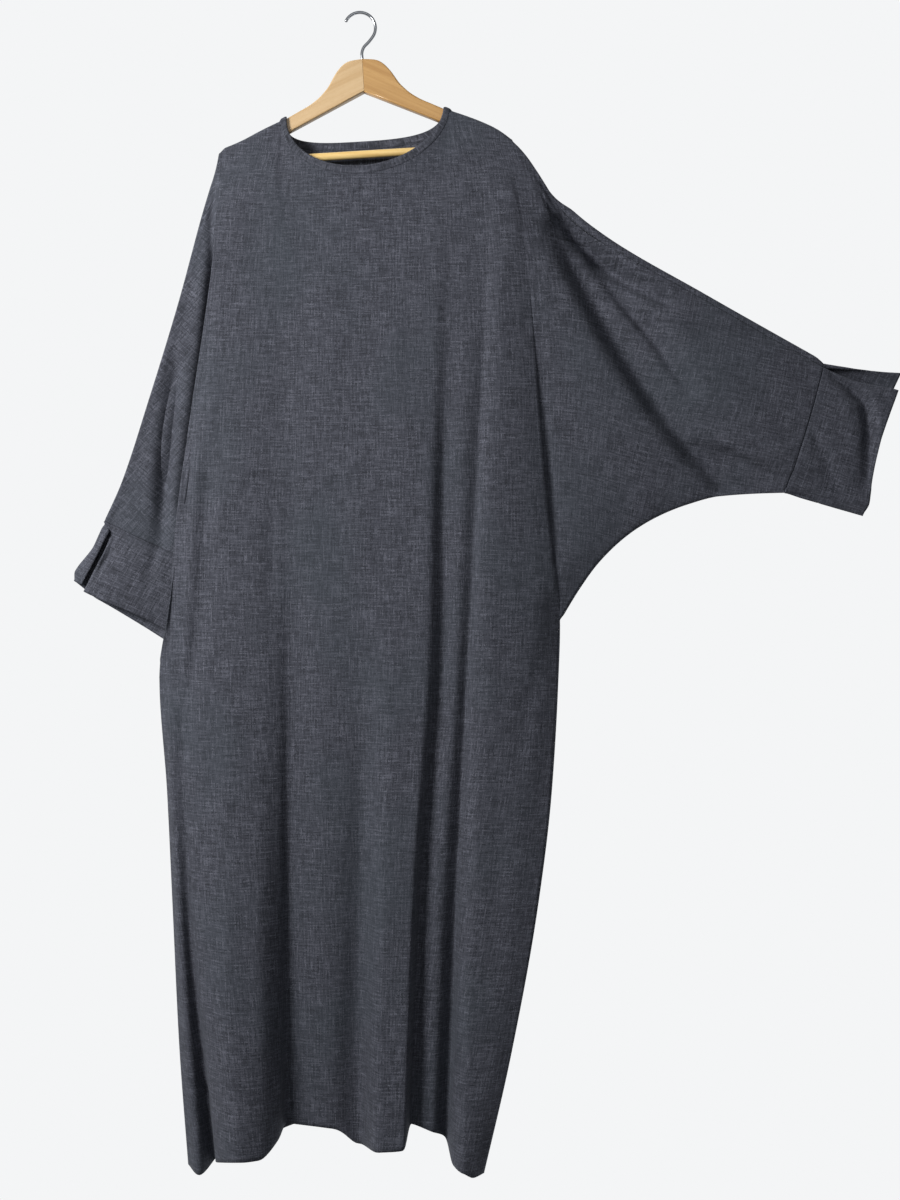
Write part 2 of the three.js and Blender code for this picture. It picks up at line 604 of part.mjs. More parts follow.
// A cuff is one strip: down the front from the slit, round the underarm fold and up the back to the slit.
function cuffSheet(frontEdge, backEdge, end, facingSide) {
  const sheet = new Sheet();
  const rows = frontEdge.length - 1;
  const seam = [...frontEdge.map((p) => ({ ...p })), ...backEdge.slice(0, -1).reverse().map((p) => ({ ...p }))];
  seam[rows].out = (frontEdge[rows].out + backEdge[rows].out) / 2;
  seam[0].out += slitParting;
  seam[seam.length - 1].out -= slitParting;
  const heart = { x: (seam[0].x + seam[rows].x) / 2, z: (seam[0].z + seam[rows].z) / 2 };
  const tip = {
    x: (end.frontCorner.x + end.fold.x) / 2,
    z: (end.frontCorner.z + end.fold.z) / 2,
  };
  const run = Math.hypot(tip.x - heart.x, tip.z - heart.z);
  const axis = { x: (tip.x - heart.x) / run, z: (tip.z - heart.z) / run };
  const mouth = (share) => {
    const front = share <= 0.5;
    const down = front ? share * 2 : (1 - share) * 2;
    const corner = front ? end.frontCorner : end.backCorner;
    const swell = front ? end.swell.front : -end.swell.back;
    const belly = Math.sin(Math.PI * down ** end.lean) ** 0.8;
    return {
      x: lerp(corner.x, end.fold.x, down),
      z: lerp(corner.z, end.fold.z, down),
      out: lerp(corner.out, end.fold.out, down ** end.lean) + swell * belly * 0.75,
    };
  };
  const grid = [];
  for (let ring = 0; ring <= cuffRings; ring++) {
    const t = ring / cuffRings;
    grid.push(
      seam.map((point, i) => {
        const share = i <= rows ? (i / rows) * 0.5 : 0.5 + ((i - rows) / rows) * 0.5;
        const from = {
          x: point.x + axis.x * (cuffGap + clothWall * 0.1),
          z: point.z + axis.z * (cuffGap + clothWall * 0.1),
          out: point.out,
        };
        const to = mouth(share);
        const nearSlit = Math.max(0, 1 - share * 6) * Math.sin(Math.PI * Math.min(t * 1.1, 1));
        const sag = nearSlit * (slitSpread * 0.5 + end.frontSag * 0.5);
        return sheet.add({
          x: lerp(from.x, to.x, t) + facingSide * -sag * 0.35,
          z: lerp(from.z, to.z, t) - sag * 0.8,
          out: lerp(from.out, to.out, smooth(t * 1.15)),
        });
      }),
    );
  }
  sheet.join(grid, facingSide > 0);
  return sheet;
}

// ---- Neck band ----

// A flat band round the whole neck, from the opening's edge to the edges of the front and the back. It has a section
// at each of their columns.
function neckBandGeometry(frontTops, backTops) {
  const walk = [
    ...frontTops.filter((share) => share >= -1 && share < 1).map((share) => ({ share, facing: 1 })),
    ...backTops.filter((share) => share > -1 && share <= 1).reverse().map((share) => ({ share, facing: -1 })),
  ];
  const positions = [];
  const at = ({ share, facing }, grow) => {
    const point = neckPoint(share, grow, facing);
    return new THREE.Vector3(point.x, -point.out, point.z);
  };
  walk.forEach((step, i) => {
    const inner = at(step, 0);
    const outer = at(step, bandWidth);
    const along = at(walk[(i + 1) % walk.length], bandWidth / 2).sub(
      at(walk[(i + walk.length - 1) % walk.length], bandWidth / 2));
    const normal = along.cross(outer.clone().sub(inner)).normalize().multiplyScalar(bandWall / 2);
    const corners = [
      inner.clone().add(normal),
      outer.clone().add(normal),
      outer.clone().sub(normal),
      inner.clone().sub(normal),
    ];
    for (const corner of corners) positions.push(corner.x, corner.y, corner.z);
  });
  const index = [];
  walk.forEach((_, i) => {
    const a = i * 4;
    const b = ((i + 1) % walk.length) * 4;
    for (let k = 0; k < 4; k++) {
      const next = (k + 1) % 4;
      index.push(a + k, b + k, b + next, a + k, b + next, a + next);
    }
  });
  const geometry = new THREE.BufferGeometry();
  geometry.setAttribute("position", new THREE.Float32BufferAttribute(positions, 3));
  geometry.setIndex(index);
  return geometry;
}

// ---- Hanger ----

// One arm in the hanger's frame, from the joint in the middle to its rounded end. side is 1 or -1.
function armGeometry(side) {
  const joint = seamGap / 2;
  const lugFace = hangerHalfSpan - 27;
  const outline = new THREE.Shape();
  outline.moveTo(joint, 0);
  outline.splineThru([
    new THREE.Vector2(20, -2),
    new THREE.Vector2(34, -12),
    new THREE.Vector2(47, -31),
    new THREE.Vector2(57, -44),
    new THREE.Vector2(72, -57),
    new THREE.Vector2(92, -68),
    new THREE.Vector2(armNeck.x, armNeck.z),
  ]);
  const tipHeight = armNeck.z + armSlope * (hangerHalfSpan - 8 - armNeck.x);
  outline.lineTo(hangerHalfSpan - 8, tipHeight);
  outline.quadraticCurveTo(hangerHalfSpan, tipHeight - 4, hangerHalfSpan, tipHeight - 13);
  outline.quadraticCurveTo(hangerHalfSpan - 1, tipHeight - 26, hangerHalfSpan - 12, tipHeight - 27);
  outline.lineTo(lugFace, tipHeight - 27);
  outline.lineTo(lugFace, tipHeight - 9);
  outline.lineTo(108, -97);
  outline.lineTo(joint, -47);
  outline.closePath();
  const bevel = 1.5;
  const geometry = new THREE.ExtrudeGeometry(outline, {
    depth: hangerThickness - 2 * bevel,
    bevelEnabled: true,
    bevelThickness: bevel,
    bevelSize: bevel,
    bevelOffset: -bevel,
    bevelSegments: 1,
    curveSegments: 4,
  });
  geometry.translate(0, 0, bevel - hangerThickness / 2);
  geometry.rotateX(Math.PI / 2);
  if (side < 0) geometry.rotateZ(Math.PI);
  return geometry;
}

function barGeometry() {
  const length = 2 * (hangerHalfSpan - 27 - seamGap);
  const geometry = new THREE.CylinderGeometry(barDiameter / 2, barDiameter / 2, length, 16);
  geometry.rotateZ(Math.PI / 2);
  geometry.translate(0, 0, -barDrop);
  return geometry;
}

// The hook: an arc over the rail, then an S-bend down to the shank that stands on the wood.
function hookGeometry() {
  const reach = hookRadius + hookWire / 2;
  const points = [];
  for (let degrees = 158; degrees >= -28; degrees -= 15.5) {
    const turn = THREE.MathUtils.degToRad(degrees);
    points.push(new THREE.Vector3(reach * Math.cos(turn), 0, reach * Math.sin(turn) - hookRadius));
  }
  const foot = tilted(0, seamGap);
  for (const [x, above] of [[foot.x + 9.5, 26], [foot.x + 2.2, 18], [foot.x - 0.6, 10]]) {
    points.push(new THREE.Vector3(x, 0, foot.z + above));
  }
  points.push(new THREE.Vector3(foot.x, 0, foot.z));
  const path = new THREE.CatmullRomCurve3(points, false, "centripetal");
  const section = new THREE.Shape().absarc(0, 0, hookWire / 2, 0, Math.PI * 2);
  return new THREE.ExtrudeGeometry(section, {
    steps: 34,
    curveSegments: 9,
    bevelEnabled: false,
    extrudePath: path,
  });
}

// ---- Assembly ----

const cloth = new THREE.MeshStandardMaterial({ color: 0x464a52, roughness: 0.92, metalness: 0, side: THREE.DoubleSide });
const band = cloth.clone();
const wood = new THREE.MeshStandardMaterial({ color: 0xd9ab72, roughness: 0.42, metalness: 0 });
const paleWood = new THREE.MeshStandardMaterial({ color: 0xe8c27a, roughness: 0.45, metalness: 0 });
const steel = new THREE.MeshStandardMaterial({ color: 0xc9ccd0, roughness: 0.16, metalness: 1 });

const abaya = new THREE.Group();
function place(parent, name, geometry, material) {
  const mesh = new THREE.Mesh(geometry, material);
  mesh.name = name;
  parent.add(mesh);
  return mesh;
}

const front = panel(frontRibs, 1);
const back = panel(backRibs, -1);
place(abaya, "front", wallGeometry(front.sheet, clothWall), cloth);
place(abaya, "back", wallGeometry(back.sheet, clothWall), cloth);
const cuffs = [
  ["cuff_lowered", loweredCuffEnd, -1],
  ["cuff_drawn", drawnCuffEnd, 1],
];
cuffs.forEach(([name, end, side], i) => {
  const sheet = cuffSheet(front.cuffEdges[i], back.cuffEdges[i], end, side);
  place(abaya, name, wallGeometry(sheet, clothWall), cloth);
});
place(abaya, "neck_band", neckBandGeometry(front.tops, back.tops), band);

const hanger = new THREE.Group();
hanger.position.set(hangerTop.x, 0, hangerTop.z);
hanger.rotation.y = -hangerTilt;
place(hanger, "hanger_arm_right", armGeometry(1), wood);
place(hanger, "hanger_arm_left", armGeometry(-1), wood);
place(hanger, "hanger_bar", barGeometry(), paleWood);
abaya.add(hanger);
place(abaya, "hanger_hook", hookGeometry(), steel);

export default abaya;
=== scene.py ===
import math

import bmesh
import bpy
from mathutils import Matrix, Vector, noise


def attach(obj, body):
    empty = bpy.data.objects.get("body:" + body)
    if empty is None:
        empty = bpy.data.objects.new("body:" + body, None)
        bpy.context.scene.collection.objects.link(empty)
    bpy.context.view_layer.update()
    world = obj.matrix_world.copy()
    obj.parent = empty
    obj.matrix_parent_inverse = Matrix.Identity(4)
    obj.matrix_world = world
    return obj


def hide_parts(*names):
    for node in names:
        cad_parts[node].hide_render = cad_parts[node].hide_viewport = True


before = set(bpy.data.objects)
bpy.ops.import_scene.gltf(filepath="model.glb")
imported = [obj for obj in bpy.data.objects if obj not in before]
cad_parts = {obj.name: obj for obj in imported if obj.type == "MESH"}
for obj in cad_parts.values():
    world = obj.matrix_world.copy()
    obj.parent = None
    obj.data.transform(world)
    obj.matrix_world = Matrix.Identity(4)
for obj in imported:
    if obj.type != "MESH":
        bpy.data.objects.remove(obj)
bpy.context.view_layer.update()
scene = bpy.context.scene
scene.view_settings.view_transform = "Standard"
mm = 0.001  # tables are in millimetres, meshes in metres


def smooth(x):
    x = min(max(x, 0.0), 1.0)
    return x * x * (3 - 2 * x)


def lerp(a, b, t):
    return a + (b - a) * t


def curveThrough(keys, values):
    # a smooth curve that doesn't swing past its values
    last = len(keys) - 1
    rise = [(values[i + 1] - values[i]) / (keys[i + 1] - keys[i]) for i in range(last)]
    slopes = [rise[0]]
    for before, after in zip(rise, rise[1:]):
        slopes.append(2 * before * after / (before + after) if before * after > 0 else 0.0)
    slopes.append(rise[-1])

    def at(key):
        if key <= keys[0]:
            return values[0]
        if key >= keys[last]:
            return values[last]
        i = 0
        while key > keys[i + 1]:
            i += 1
        step = keys[i + 1] - keys[i]
        t = (key - keys[i]) / step
        a = 2 * t**3 - 3 * t**2 + 1
        b = t**3 - 2 * t**2 + t
        c = t**3 - t**2
        start = a * values[i] + b * step * slopes[i]
        return start + (1 - a) * values[i + 1] + c * step * slopes[i + 1]

    return at


# camera and lights
view = {"distance": 2.1, "lens": 44.0, "across": 0.129, "up": -0.839}
cameraData = bpy.data.cameras.new("camera")
cameraData.sensor_width = 36
cameraData.lens = view["lens"]
camera = bpy.data.objects.new("camera", cameraData)
camera.location = (view["across"], -view["distance"], view["up"])
camera.rotation_euler = (math.radians(90), 0, 0)
scene.collection.objects.link(camera)
scene.camera = camera


def addLight(name, place, target, size, power, colour):
    data = bpy.data.lights.new(name, "AREA")
    data.shape = "SQUARE"
    data.size = size
    data.energy = power
    data.color = colour
    lamp = bpy.data.objects.new(name, data)
    lamp.location = place
    lamp.rotation_euler = (Vector(target) - Vector(place)).to_track_quat("-Z", "Y").to_euler()
    scene.collection.objects.link(lamp)


addLight("windowLight", (-1.6, -1.5, 0.08), (0.05, 0, -0.5), 0.75, 77, (1.0, 0.99, 0.97))
addLight("roomFill", (0.2, -3.4, 0.3), (0.1, 0, -0.7), 2.2, 15, (0.97, 0.985, 1.0))


def colour(hexText):
    parts = [int(hexText[i : i + 2], 16) / 255 for i in (1, 3, 5)]
    linear = [c / 12.92 if c <= 0.04045 else ((c + 0.055) / 1.055) ** 2.4 for c in parts]
    return (*linear, 1.0)


def addNode(tree, kind, settings=None, values=None, links=None, stops=()):
    node = tree.nodes.new(kind)
    for key, value in (settings or {}).items():
        setattr(node, key, value)
    for key, value in (values or {}).items():
        node.inputs[key].default_value = value
    for key, source in (links or {}).items():
        tree.links.new(source, node.inputs[key])
    if stops:
        elements = node.color_ramp.elements
        while len(elements) < len(stops):
            elements.new(0.5)
        for element, (at, hexText) in zip(elements, stops):
            element.position = at
            element.color = colour(hexText)
    return node


def newMaterial(name):
    material = bpy.data.materials.new(name)
    material.use_nodes = True
    tree = material.node_tree
    tree.nodes.clear()
    return material, tree


# a white wall behind the garment and a dimmer room on the viewer's side, which plating and varnish reflect
room = {"wall": "#F4F5F6", "shown": 1.0, "behind": 0.85, "before": 0.17}
world = bpy.data.worlds.new("whiteRoom")
world.use_nodes = True
tree = world.node_tree
tree.nodes.clear()
direction = addNode(tree, "ShaderNodeTexCoord")
parts = addNode(tree, "ShaderNodeSeparateXYZ", links={"Vector": direction.outputs["Generated"]})
around = addNode(
    tree, "ShaderNodeMapRange", {"interpolation_type": "SMOOTHSTEP"},
    {"From Min": -0.5, "From Max": 0.5, "To Min": room["before"], "To Max": room["behind"]},
    {"Value": parts.outputs["Y"]},
).outputs["Result"]
seen = addNode(tree, "ShaderNodeLightPath").outputs["Is Camera Ray"]
strength = addNode(
    tree, "ShaderNodeMapRange", None, {"To Max": room["shown"]}, {"Value": seen, "To Min": around}
).outputs["Result"]
sky = addNode(tree, "ShaderNodeBackground", None, {"Color": colour(room["wall"])}, {"Strength": strength})
addNode(tree, "ShaderNodeOutputWorld", links={"Surface": sky.outputs["Background"]})
scene.world = world


# Charcoal plain weave of slub yarns, piece dyed. Each yarn swells and thins along its length, which gives a
# cross-hatch of darker and paler threads. The drawn ones are wider than real yarns, as fine as shows from afar.
linen = {
    "yarnWidth": 2.3, "slubLength": 38,  # mm
    "fineWidth": 1.3, "fineLength": 0.35, "fineShare": 0.4,  # finer threads, their length as a share of a slub
    "crossing": 0.9,  # yarn widths across the spots where warp or weft lies on top
    "patchWidth": 170, "patchLength": 230, "patchShare": 0.3,
    "dark": "#23252C", "middle": "#393B44", "pale": "#5B5D68", "tinge": "#343C43", "sheen": "#8E949E",
    "roughness": 0.86, "relief": 0.0009,  # m
}


def linenMaterial(name, tint=1.0):
    material, tree = newMaterial(name)
    uv = addNode(tree, "ShaderNodeUVMap", {"uv_map": "weave"})

    def streaks(across, along, start, detail=2.0):
        # noise drawn out into threads, along v for the warp and along u for the weft
        scaled = addNode(
            tree, "ShaderNodeMapping", {"vector_type": "POINT"},
            {"Scale": (1000 / across, 1000 / along, 1), "Location": (start, start * 0.7, 0)},
            {"Vector": uv.outputs["UV"]},
        )
        return addNode(
            tree, "ShaderNodeTexNoise", {"noise_dimensions": "2D"},
            {"Scale": 1.0, "Detail": detail, "Roughness": 0.55}, {"Vector": scaled.outputs["Vector"]},
        ).outputs["Fac"]

    def overlaid(threads, finer, share):
        # a share of the finer threads drawn over the others
        weights = ((threads, 1 - share), (finer, share))
        links = {
            k: addNode(tree, "ShaderNodeMath", {"operation": "MULTIPLY"}, {1: weight}, {0: source}).outputs[0]
            for k, (source, weight) in enumerate(weights)
        }
        return addNode(tree, "ShaderNodeMath", {"operation": "ADD"}, None, links).outputs[0]

    width, length = linen["yarnWidth"], linen["slubLength"]
    fineWidth, fineLength = linen["fineWidth"], length * linen["fineLength"]
    crossWidth = width * linen["crossing"]
    warp = overlaid(streaks(width, length, 3.1), streaks(fineWidth, fineLength, 41.7, 1.0), linen["fineShare"])
    weft = overlaid(streaks(length, width, 17.3), streaks(fineLength, fineWidth, 57.9, 1.0), linen["fineShare"])
    over = addNode(
        tree, "ShaderNodeMapRange", {"interpolation_type": "SMOOTHSTEP"}, {"From Min": 0.42, "From Max": 0.58},
        {"Value": streaks(crossWidth, crossWidth, 71.3, 0.0)},
    ).outputs["Result"]
    stops = [(0.33, linen["dark"]), (0.5, linen["middle"]), (0.7, linen["pale"])]
    warpTone, weftTone = (
        addNode(tree, "ShaderNodeValToRGB", links={"Fac": threads}, stops=stops).outputs["Color"]
        for threads in (warp, weft)
    )
    links = {"Factor": over, "A": warpTone, "B": weftTone}
    cloth = addNode(tree, "ShaderNodeMix", {"data_type": "RGBA"}, None, links).outputs["Result"]
    # the dye takes unevenly, a little greener in places a hand or two across
    patch = streaks(linen["patchWidth"], linen["patchLength"], 5.5)
    values = {"From Min": 0.45, "From Max": 0.75, "To Max": linen["patchShare"]}
    patchShare = addNode(tree, "ShaderNodeMapRange", None, values, {"Value": patch}).outputs["Result"]
    tinged = addNode(
        tree, "ShaderNodeMix", {"data_type": "RGBA"}, {"B": colour(linen["tinge"])},
        {"Factor": patchShare, "A": cloth},
    ).outputs["Result"]
    toned = addNode(tree, "ShaderNodeHueSaturation", None, {"Value": tint}, {"Color": tinged}).outputs["Color"]
    relief = {"Strength": 0.55, "Distance": linen["relief"]}
    bump = addNode(tree, "ShaderNodeBump", None, relief, {"Height": overlaid(warp, weft, 0.5)})
    values = {
        "Roughness": linen["roughness"], "Specular IOR Level": 0.28,
        "Sheen Weight": 0.16, "Sheen Roughness": 0.5, "Sheen Tint": colour(linen["sheen"]),
    }
    links = {"Base Color": toned, "Normal": bump.outputs["Normal"]}
    shader = addNode(tree, "ShaderNodeBsdfPrincipled", None, values, links)
    addNode(tree, "ShaderNodeOutputMaterial", links={"Surface": shader.outputs["BSDF"]})
    return material


# beech, planed and varnished with a satin clear coat: fine straight grain with short darker flecks
wood = {
    "left": {"pale": "#C6AA82", "dark": "#B49366", "turn": 26},
    "right": {"pale": "#B89058", "dark": "#A07640", "turn": -24},
    "bar": {"pale": "#E6C988", "dark": "#CDA660", "turn": -3},
}


def woodMaterial(name, look):
    material, tree = newMaterial(name)
    place = addNode(tree, "ShaderNodeTexCoord")
    turned = addNode(
        tree, "ShaderNodeMapping", {"vector_type": "TEXTURE"},
        {"Rotation": (0, math.radians(-look["turn"]), 0)}, {"Vector": place.outputs["Object"]},
    )

    def grain(scale, detail):
        stretched = addNode(
            tree, "ShaderNodeMapping", {"vector_type": "POINT"}, {"Scale": scale},
            {"Vector": turned.outputs["Vector"]},
        )
        return addNode(
            tree, "ShaderNodeTexNoise", None, {"Scale": 1.0, "Detail": detail, "Roughness": 0.6},
            {"Vector": stretched.outputs["Vector"]},
        ).outputs["Fac"]

    rings = grain((5, 150, 150), 3.0)  # growth rings 6 to 7 mm apart
    flecks = grain((160, 900, 900), 1.0)  # rays about 1 mm wide and 6 mm long
    stops = [(0.25, look["dark"]), (0.68, look["pale"])]
    base = addNode(tree, "ShaderNodeValToRGB", links={"Fac": rings}, stops=stops).outputs["Color"]
    values = {"From Min": 0.58, "From Max": 0.72, "To Max": 0.35}
    fleckShare = addNode(tree, "ShaderNodeMapRange", None, values, {"Value": flecks}).outputs["Result"]
    tone = addNode(
        tree, "ShaderNodeMix", {"data_type": "RGBA"}, {"B": colour(look["dark"])},
        {"Factor": fleckShare, "A": base},
    ).outputs["Result"]
    bump = addNode(tree, "ShaderNodeBump", None, {"Strength": 0.12, "Distance": 0.0003}, {"Height": flecks})
    values = {"Roughness": 0.42, "IOR": 1.5, "Coat Weight": 0.35, "Coat Roughness": 0.22}
    links = {"Base Color": tone, "Normal": bump.outputs["Normal"]}
    shader = addNode(tree, "ShaderNodeBsdfPrincipled", None, values, links)
    addNode(tree, "ShaderNodeOutputMaterial", links={"Surface": shader.outputs["BSDF"]})
    return material


# bright nickel-chrome plating on drawn steel wire: a mirror with a faint drawn haze
def chromeMaterial(name):
    material, tree = newMaterial(name)
    place = addNode(tree, "ShaderNodeTexCoord")
    haze = addNode(
        tree, "ShaderNodeTexNoise", None, {"Scale": 420.0, "Detail": 2.0}, {"Vector": place.outputs["Object"]}
    ).outputs["Fac"]
    rough = addNode(tree, "ShaderNodeMapRange", None, {"To Min": 0.1, "To Max": 0.24}, {"Value": haze})
    values, links = {"Base Color": colour("#A9ACB1"), "Metallic": 1.0}, {"Roughness": rough.outputs["Result"]}
    shader = addNode(tree, "ShaderNodeBsdfPrincipled", None, values, links)
    addNode(tree, "ShaderNodeOutputMaterial", links={"Surface": shader.outputs["BSDF"]})
    return material


charcoalLinen = linenMaterial("charcoalSlubLinen")
bandLinen = linenMaterial("charcoalSlubLinenBand", 0.92)
beechLeft = woodMaterial("varnishedBeechLeft", wood["left"])
beechRight = woodMaterial("varnishedBeechRight", wood["right"])
ashBar = woodMaterial("turnedAshDowel", wood["bar"])
platedWire = chromeMaterial("platedSteelWire")
print("materials made")


# the form the cloth hangs in
hanger = {
    "topX": 3.5, "topZ": -66, "tilt": math.radians(3.5),
    "halfSpan": 205, "thickness": 12, "slope": -0.494, "jointGap": 0.15,
    "hookRadius": 20, "hookWire": 4.5,
    "barDiameter": 11, "barDrop": 135, "barInset": 27, "barGap": 0.3,
}
neck = {
    "halfWidth": 116, "cornerZ": -80, "turnIn": 0.965, "lean": 11,
    "frontDrop": 79, "backDrop": 34, "frontStand": 17, "backStand": 19,
    "overArm": 0.03,  # share of the neckline that lies over the hanger's arm at each end
    "band": 8.5, "gap": -0.4,
}
shoulder = {"end": 210, "onArm": 1.8, "arch": 2.6, "archRun": 0.96}
overTop = {"drop": 6.4, "stand": 8.8, "below": 16, "out": 9.2}  # the cloth's turn over the hanger's rounded top
armpit = {"left": -950, "right": -868}
clothThickness = 1.3


def tilted(x, z):
    c, s = math.cos(hanger["tilt"]), math.sin(hanger["tilt"])
    return hanger["topX"] + x * c - z * s, hanger["topZ"] + x * s + z * c


def shoulderHeight(x):
    return neck["cornerZ"] + hanger["slope"] * (abs(x) - neck["halfWidth"]) + shoulder["onArm"]


def neckPoint(share, grow, facing):
    inward = 1 - abs(share)
    over = min(inward / neck["overArm"], 1)
    turn = max(inward - neck["overArm"], 0) / (1 - neck["overArm"]) * math.pi / 2
    drop = (neck["frontDrop"] if facing > 0 else neck["backDrop"]) + grow
    power = 1 if facing > 0 else 2 / 3
    corner = (neck["halfWidth"] + grow) * lerp(1, neck["turnIn"], over)
    down = math.sin(turn) ** power
    side = 1 if share >= 0 else -1
    across = side * corner * max(math.cos(turn), 0) ** power - neck["lean"] * down
    x, z = tilted(across, shoulderHeight(corner) - drop * down)
    stand = neck["frontStand"] if facing > 0 else neck["backStand"]
    return x, z, facing * lerp(over * overTop["out"], stand, smooth(down) * over)


def topPoint(share, facing):
    # the top edge of the front or back: the neckline up to a share of 1, then the shoulder
    if abs(share) <= 1:
        return neckPoint(share, neck["band"] + neck["gap"], facing)
    inner = neck["halfWidth"] + neck["band"] + neck["gap"]
    side = 1 if share > 0 else -1
    x = side * lerp(inner, shoulder["end"], abs(share) - 1)
    # the cloth bridges the dip of the hanger's arm in a slight arch
    arch = shoulder["arch"] * math.sin(math.pi * min((abs(share) - 1) / shoulder["archRun"], 1))
    return (*tilted(x, shoulderHeight(x) + arch), 0.0)


# the sides of the body: height, left and right edge, and how far the cloth is folded back behind each
sides = [
    (-170, -199, 219, 0, 0),
    (-265, -201, 228, 0, 0),
    (-340, -202, 237, 6, 0),
    (-460, -212, 247, 22, 3),
    (-560, -225, 254, 40, 6),
    (-680, -244, 264, 62, 9),
    (-790, -261, 275, 76, 8),
    (-868, -272, 286, 52, 0),
    (-950, -286, 283, 0, 0),
    (-1110, -275, 272, 0, 0),
    (-1270, -267, 251, 0, 0),
    (-1470, -257, 213, 0, 0),
    (-1650, -243, 170, 0, 0),
]
# how far forward the sides stand: front and back at the left, front and back at the right
sideDepths = [
    (-340, 18, -18, 18, -18),
    (-800, 20, -17, 17, -13),
    (-868, 22, -19, 3, 3),
    (-950, 3, 3, 12, 12),
    (-960, 3, 3, 13, 13),
    (-1270, 5, 5, 50, 50),
    (-1650, 10, 10, 82, 82),
]


def tableCurves(rows, names):
    keys = [-row[0] for row in rows]
    return {name: curveThrough(keys, [row[i + 1] for row in rows]) for i, name in enumerate(names)}


sideCurve = tableCurves(sides, ["left", "right", "tuckLeft", "tuckRight"])
depthCurve = tableCurves(sideDepths, ["frontLeft", "backLeft", "frontRight", "backRight"])
levels = [340, 880, 1270, 1640]  # how far below the hook the chest, waist, knee and hem are

# ribs down crests and troughs: place on the neck and shoulder, x at the four levels, how far out the cloth is
# there, and the height of the hem
frontRibs = [
    ("left side", -2, None, None, -1643),
    ("side roll", -1.86, (-205, -268, -253, -224), (21, 18, 26, 34), -1649),
    ("side trough", -1.7, (-197, -255, -242, -206), (21, 23, 20, 10), -1636),
    ("left lobe start", -1.45, (-186, -238, -225, -194), (21, 32, 41, 58), -1622),
    ("left lobe", -1.18, (-162, -184, -178, -157), (20, 38, 66, 98), -1608),
    ("left lobe end", -1, (-140, -148, -138, -133), (19, 37.5, 62, 90), -1608),
    ("left flank", -0.97, (-124, -116, -111, -111), (19, 33, 43, 63), -1591),
    ("left trough", -0.7, (-104, -96, -98, -101), (19, 28, 29, 32), -1577),
    ("middle panel", -0.42, (-70, -58, -44, -34), (19, 33, 39, 42), -1581),
    ("middle rise", -0.1, (-22, -6, 2, 0), (20, 35, 37, 34), -1605),
    ("middle lobe", 0.3, (66, 52, 38, 31), (21, 41, 66, 88), -1598),
    ("middle lobe end", 0.6, (106, 96, 74, 63), (21, 41, 66, 90), -1595),
    ("first pleat", 0.82, (128, 118, 88, 72), (20.2, 25, 41, 57), -1570),
    ("pleat floor", 0.97, (154, 140, 114, 101), (21, 31, 48, 63), -1578),
    ("second pleat", 1, (181, 156, 136, 121), (20.4, 25, 34, 44), -1593),
    ("right lobe start", 1.18, (190, 167, 147, 133), (21.6, 35, 54, 80), -1618),
    ("right lobe", 1.4, (205, 188, 164, 146), (22, 38, 64, 100), -1622),
    ("right lobe end", 1.72, (221, 241, 214, 160), (21, 30, 60, 93), -1630),
    ("right side", 2, None, None, -1628),
]
backRibs = [
    ("left side", -2, None, None, -1643),
    ("side roll", -1.8, (-203, -264, -252, -228), (-20, -17, -13, -14), -1638),
    ("left crest", -1.4, (-182, -226, -214, -188), (-20, -25, -29, -38), -1636),
    ("left trough", -1, (-142, -158, -148, -132), (-18, -15, -11, -8), -1607),
    ("left panel", -0.97, (-104, -106, -98, -88), (-18, -19, -20, -24), -1595),
    ("middle crest", -0.55, (-60, -54, -50, -46), (-19, -24, -31, -42), -1590),
    ("middle trough", 0, (4, 8, 6, 0), (-18, -14, -10, -6), -1592),
    ("right panel", 0.55, (70, 68, 58, 46), (-19, -20, -24, -30), -1592),
    ("right crest", 0.97, (122, 124, 104, 84), (-18, -18, -18, -20), -1592),
    ("right trough", 1, (160, 174, 150, 118), (-18, -14, -9, -4), -1600),
    ("far crest", 1.5, (196, 222, 200, 148), (-20, -21, -23, -22), -1620),
    ("side roll", 1.82, (222, 266, 238, 170), (-20, -12, -10, 6), -1629),
    ("right side", 2, None, None, -1628),
]

# the sleeves: their seams from the body to the cuff as x, z and how far forward
drawnSleeve = {
    "side": 1,
    "tuck": "tuckRight",
    "overarm": [
        (219, -177, 0), (252, -226, 0), (288, -278, 4), (345, -326, 8), (486, -409, 9), (661, -507, 6),
    ],
    "underarm": [
        (287, -868, 3), (315, -822, 2), (343, -784, 1), (386, -744, 0), (429, -718, 0),
        (472, -701, 0), (515, -690, 0), (572, -686, 0), (608, -685, 0),
    ],
    "swell": {1: 15, -1: 17}, "lean": 1,  # of the front and of the back
    "roll": 10,  # how high the back rolls over the arm
    "grain": math.radians(-11), "pivot": (262, -480), "turnRun": 0.55,
}
loweredSleeve = {
    "side": -1,
    "tuck": "tuckLeft",
    "overarm": [
        (-199, -202, 0), (-221, -272, 0), (-259, -412, 0), (-302, -553, 0), (-341, -672, 0), (-365, -726, 0),
    ],
    "underarm": [
        (-286, -950, 3), (-256, -958, 3), (-216, -938, 2), (-184, -884, 1), (-168, -838, 0),
        (-168, -806, 0), (-181, -794, 0), (-193, -807, 0),
    ],
    "swell": {1: 9, -1: 9}, "lean": 0.7,
    "roll": 0,
    "grain": math.radians(47), "pivot": (-204, -250), "turnRun": 0.12,
}

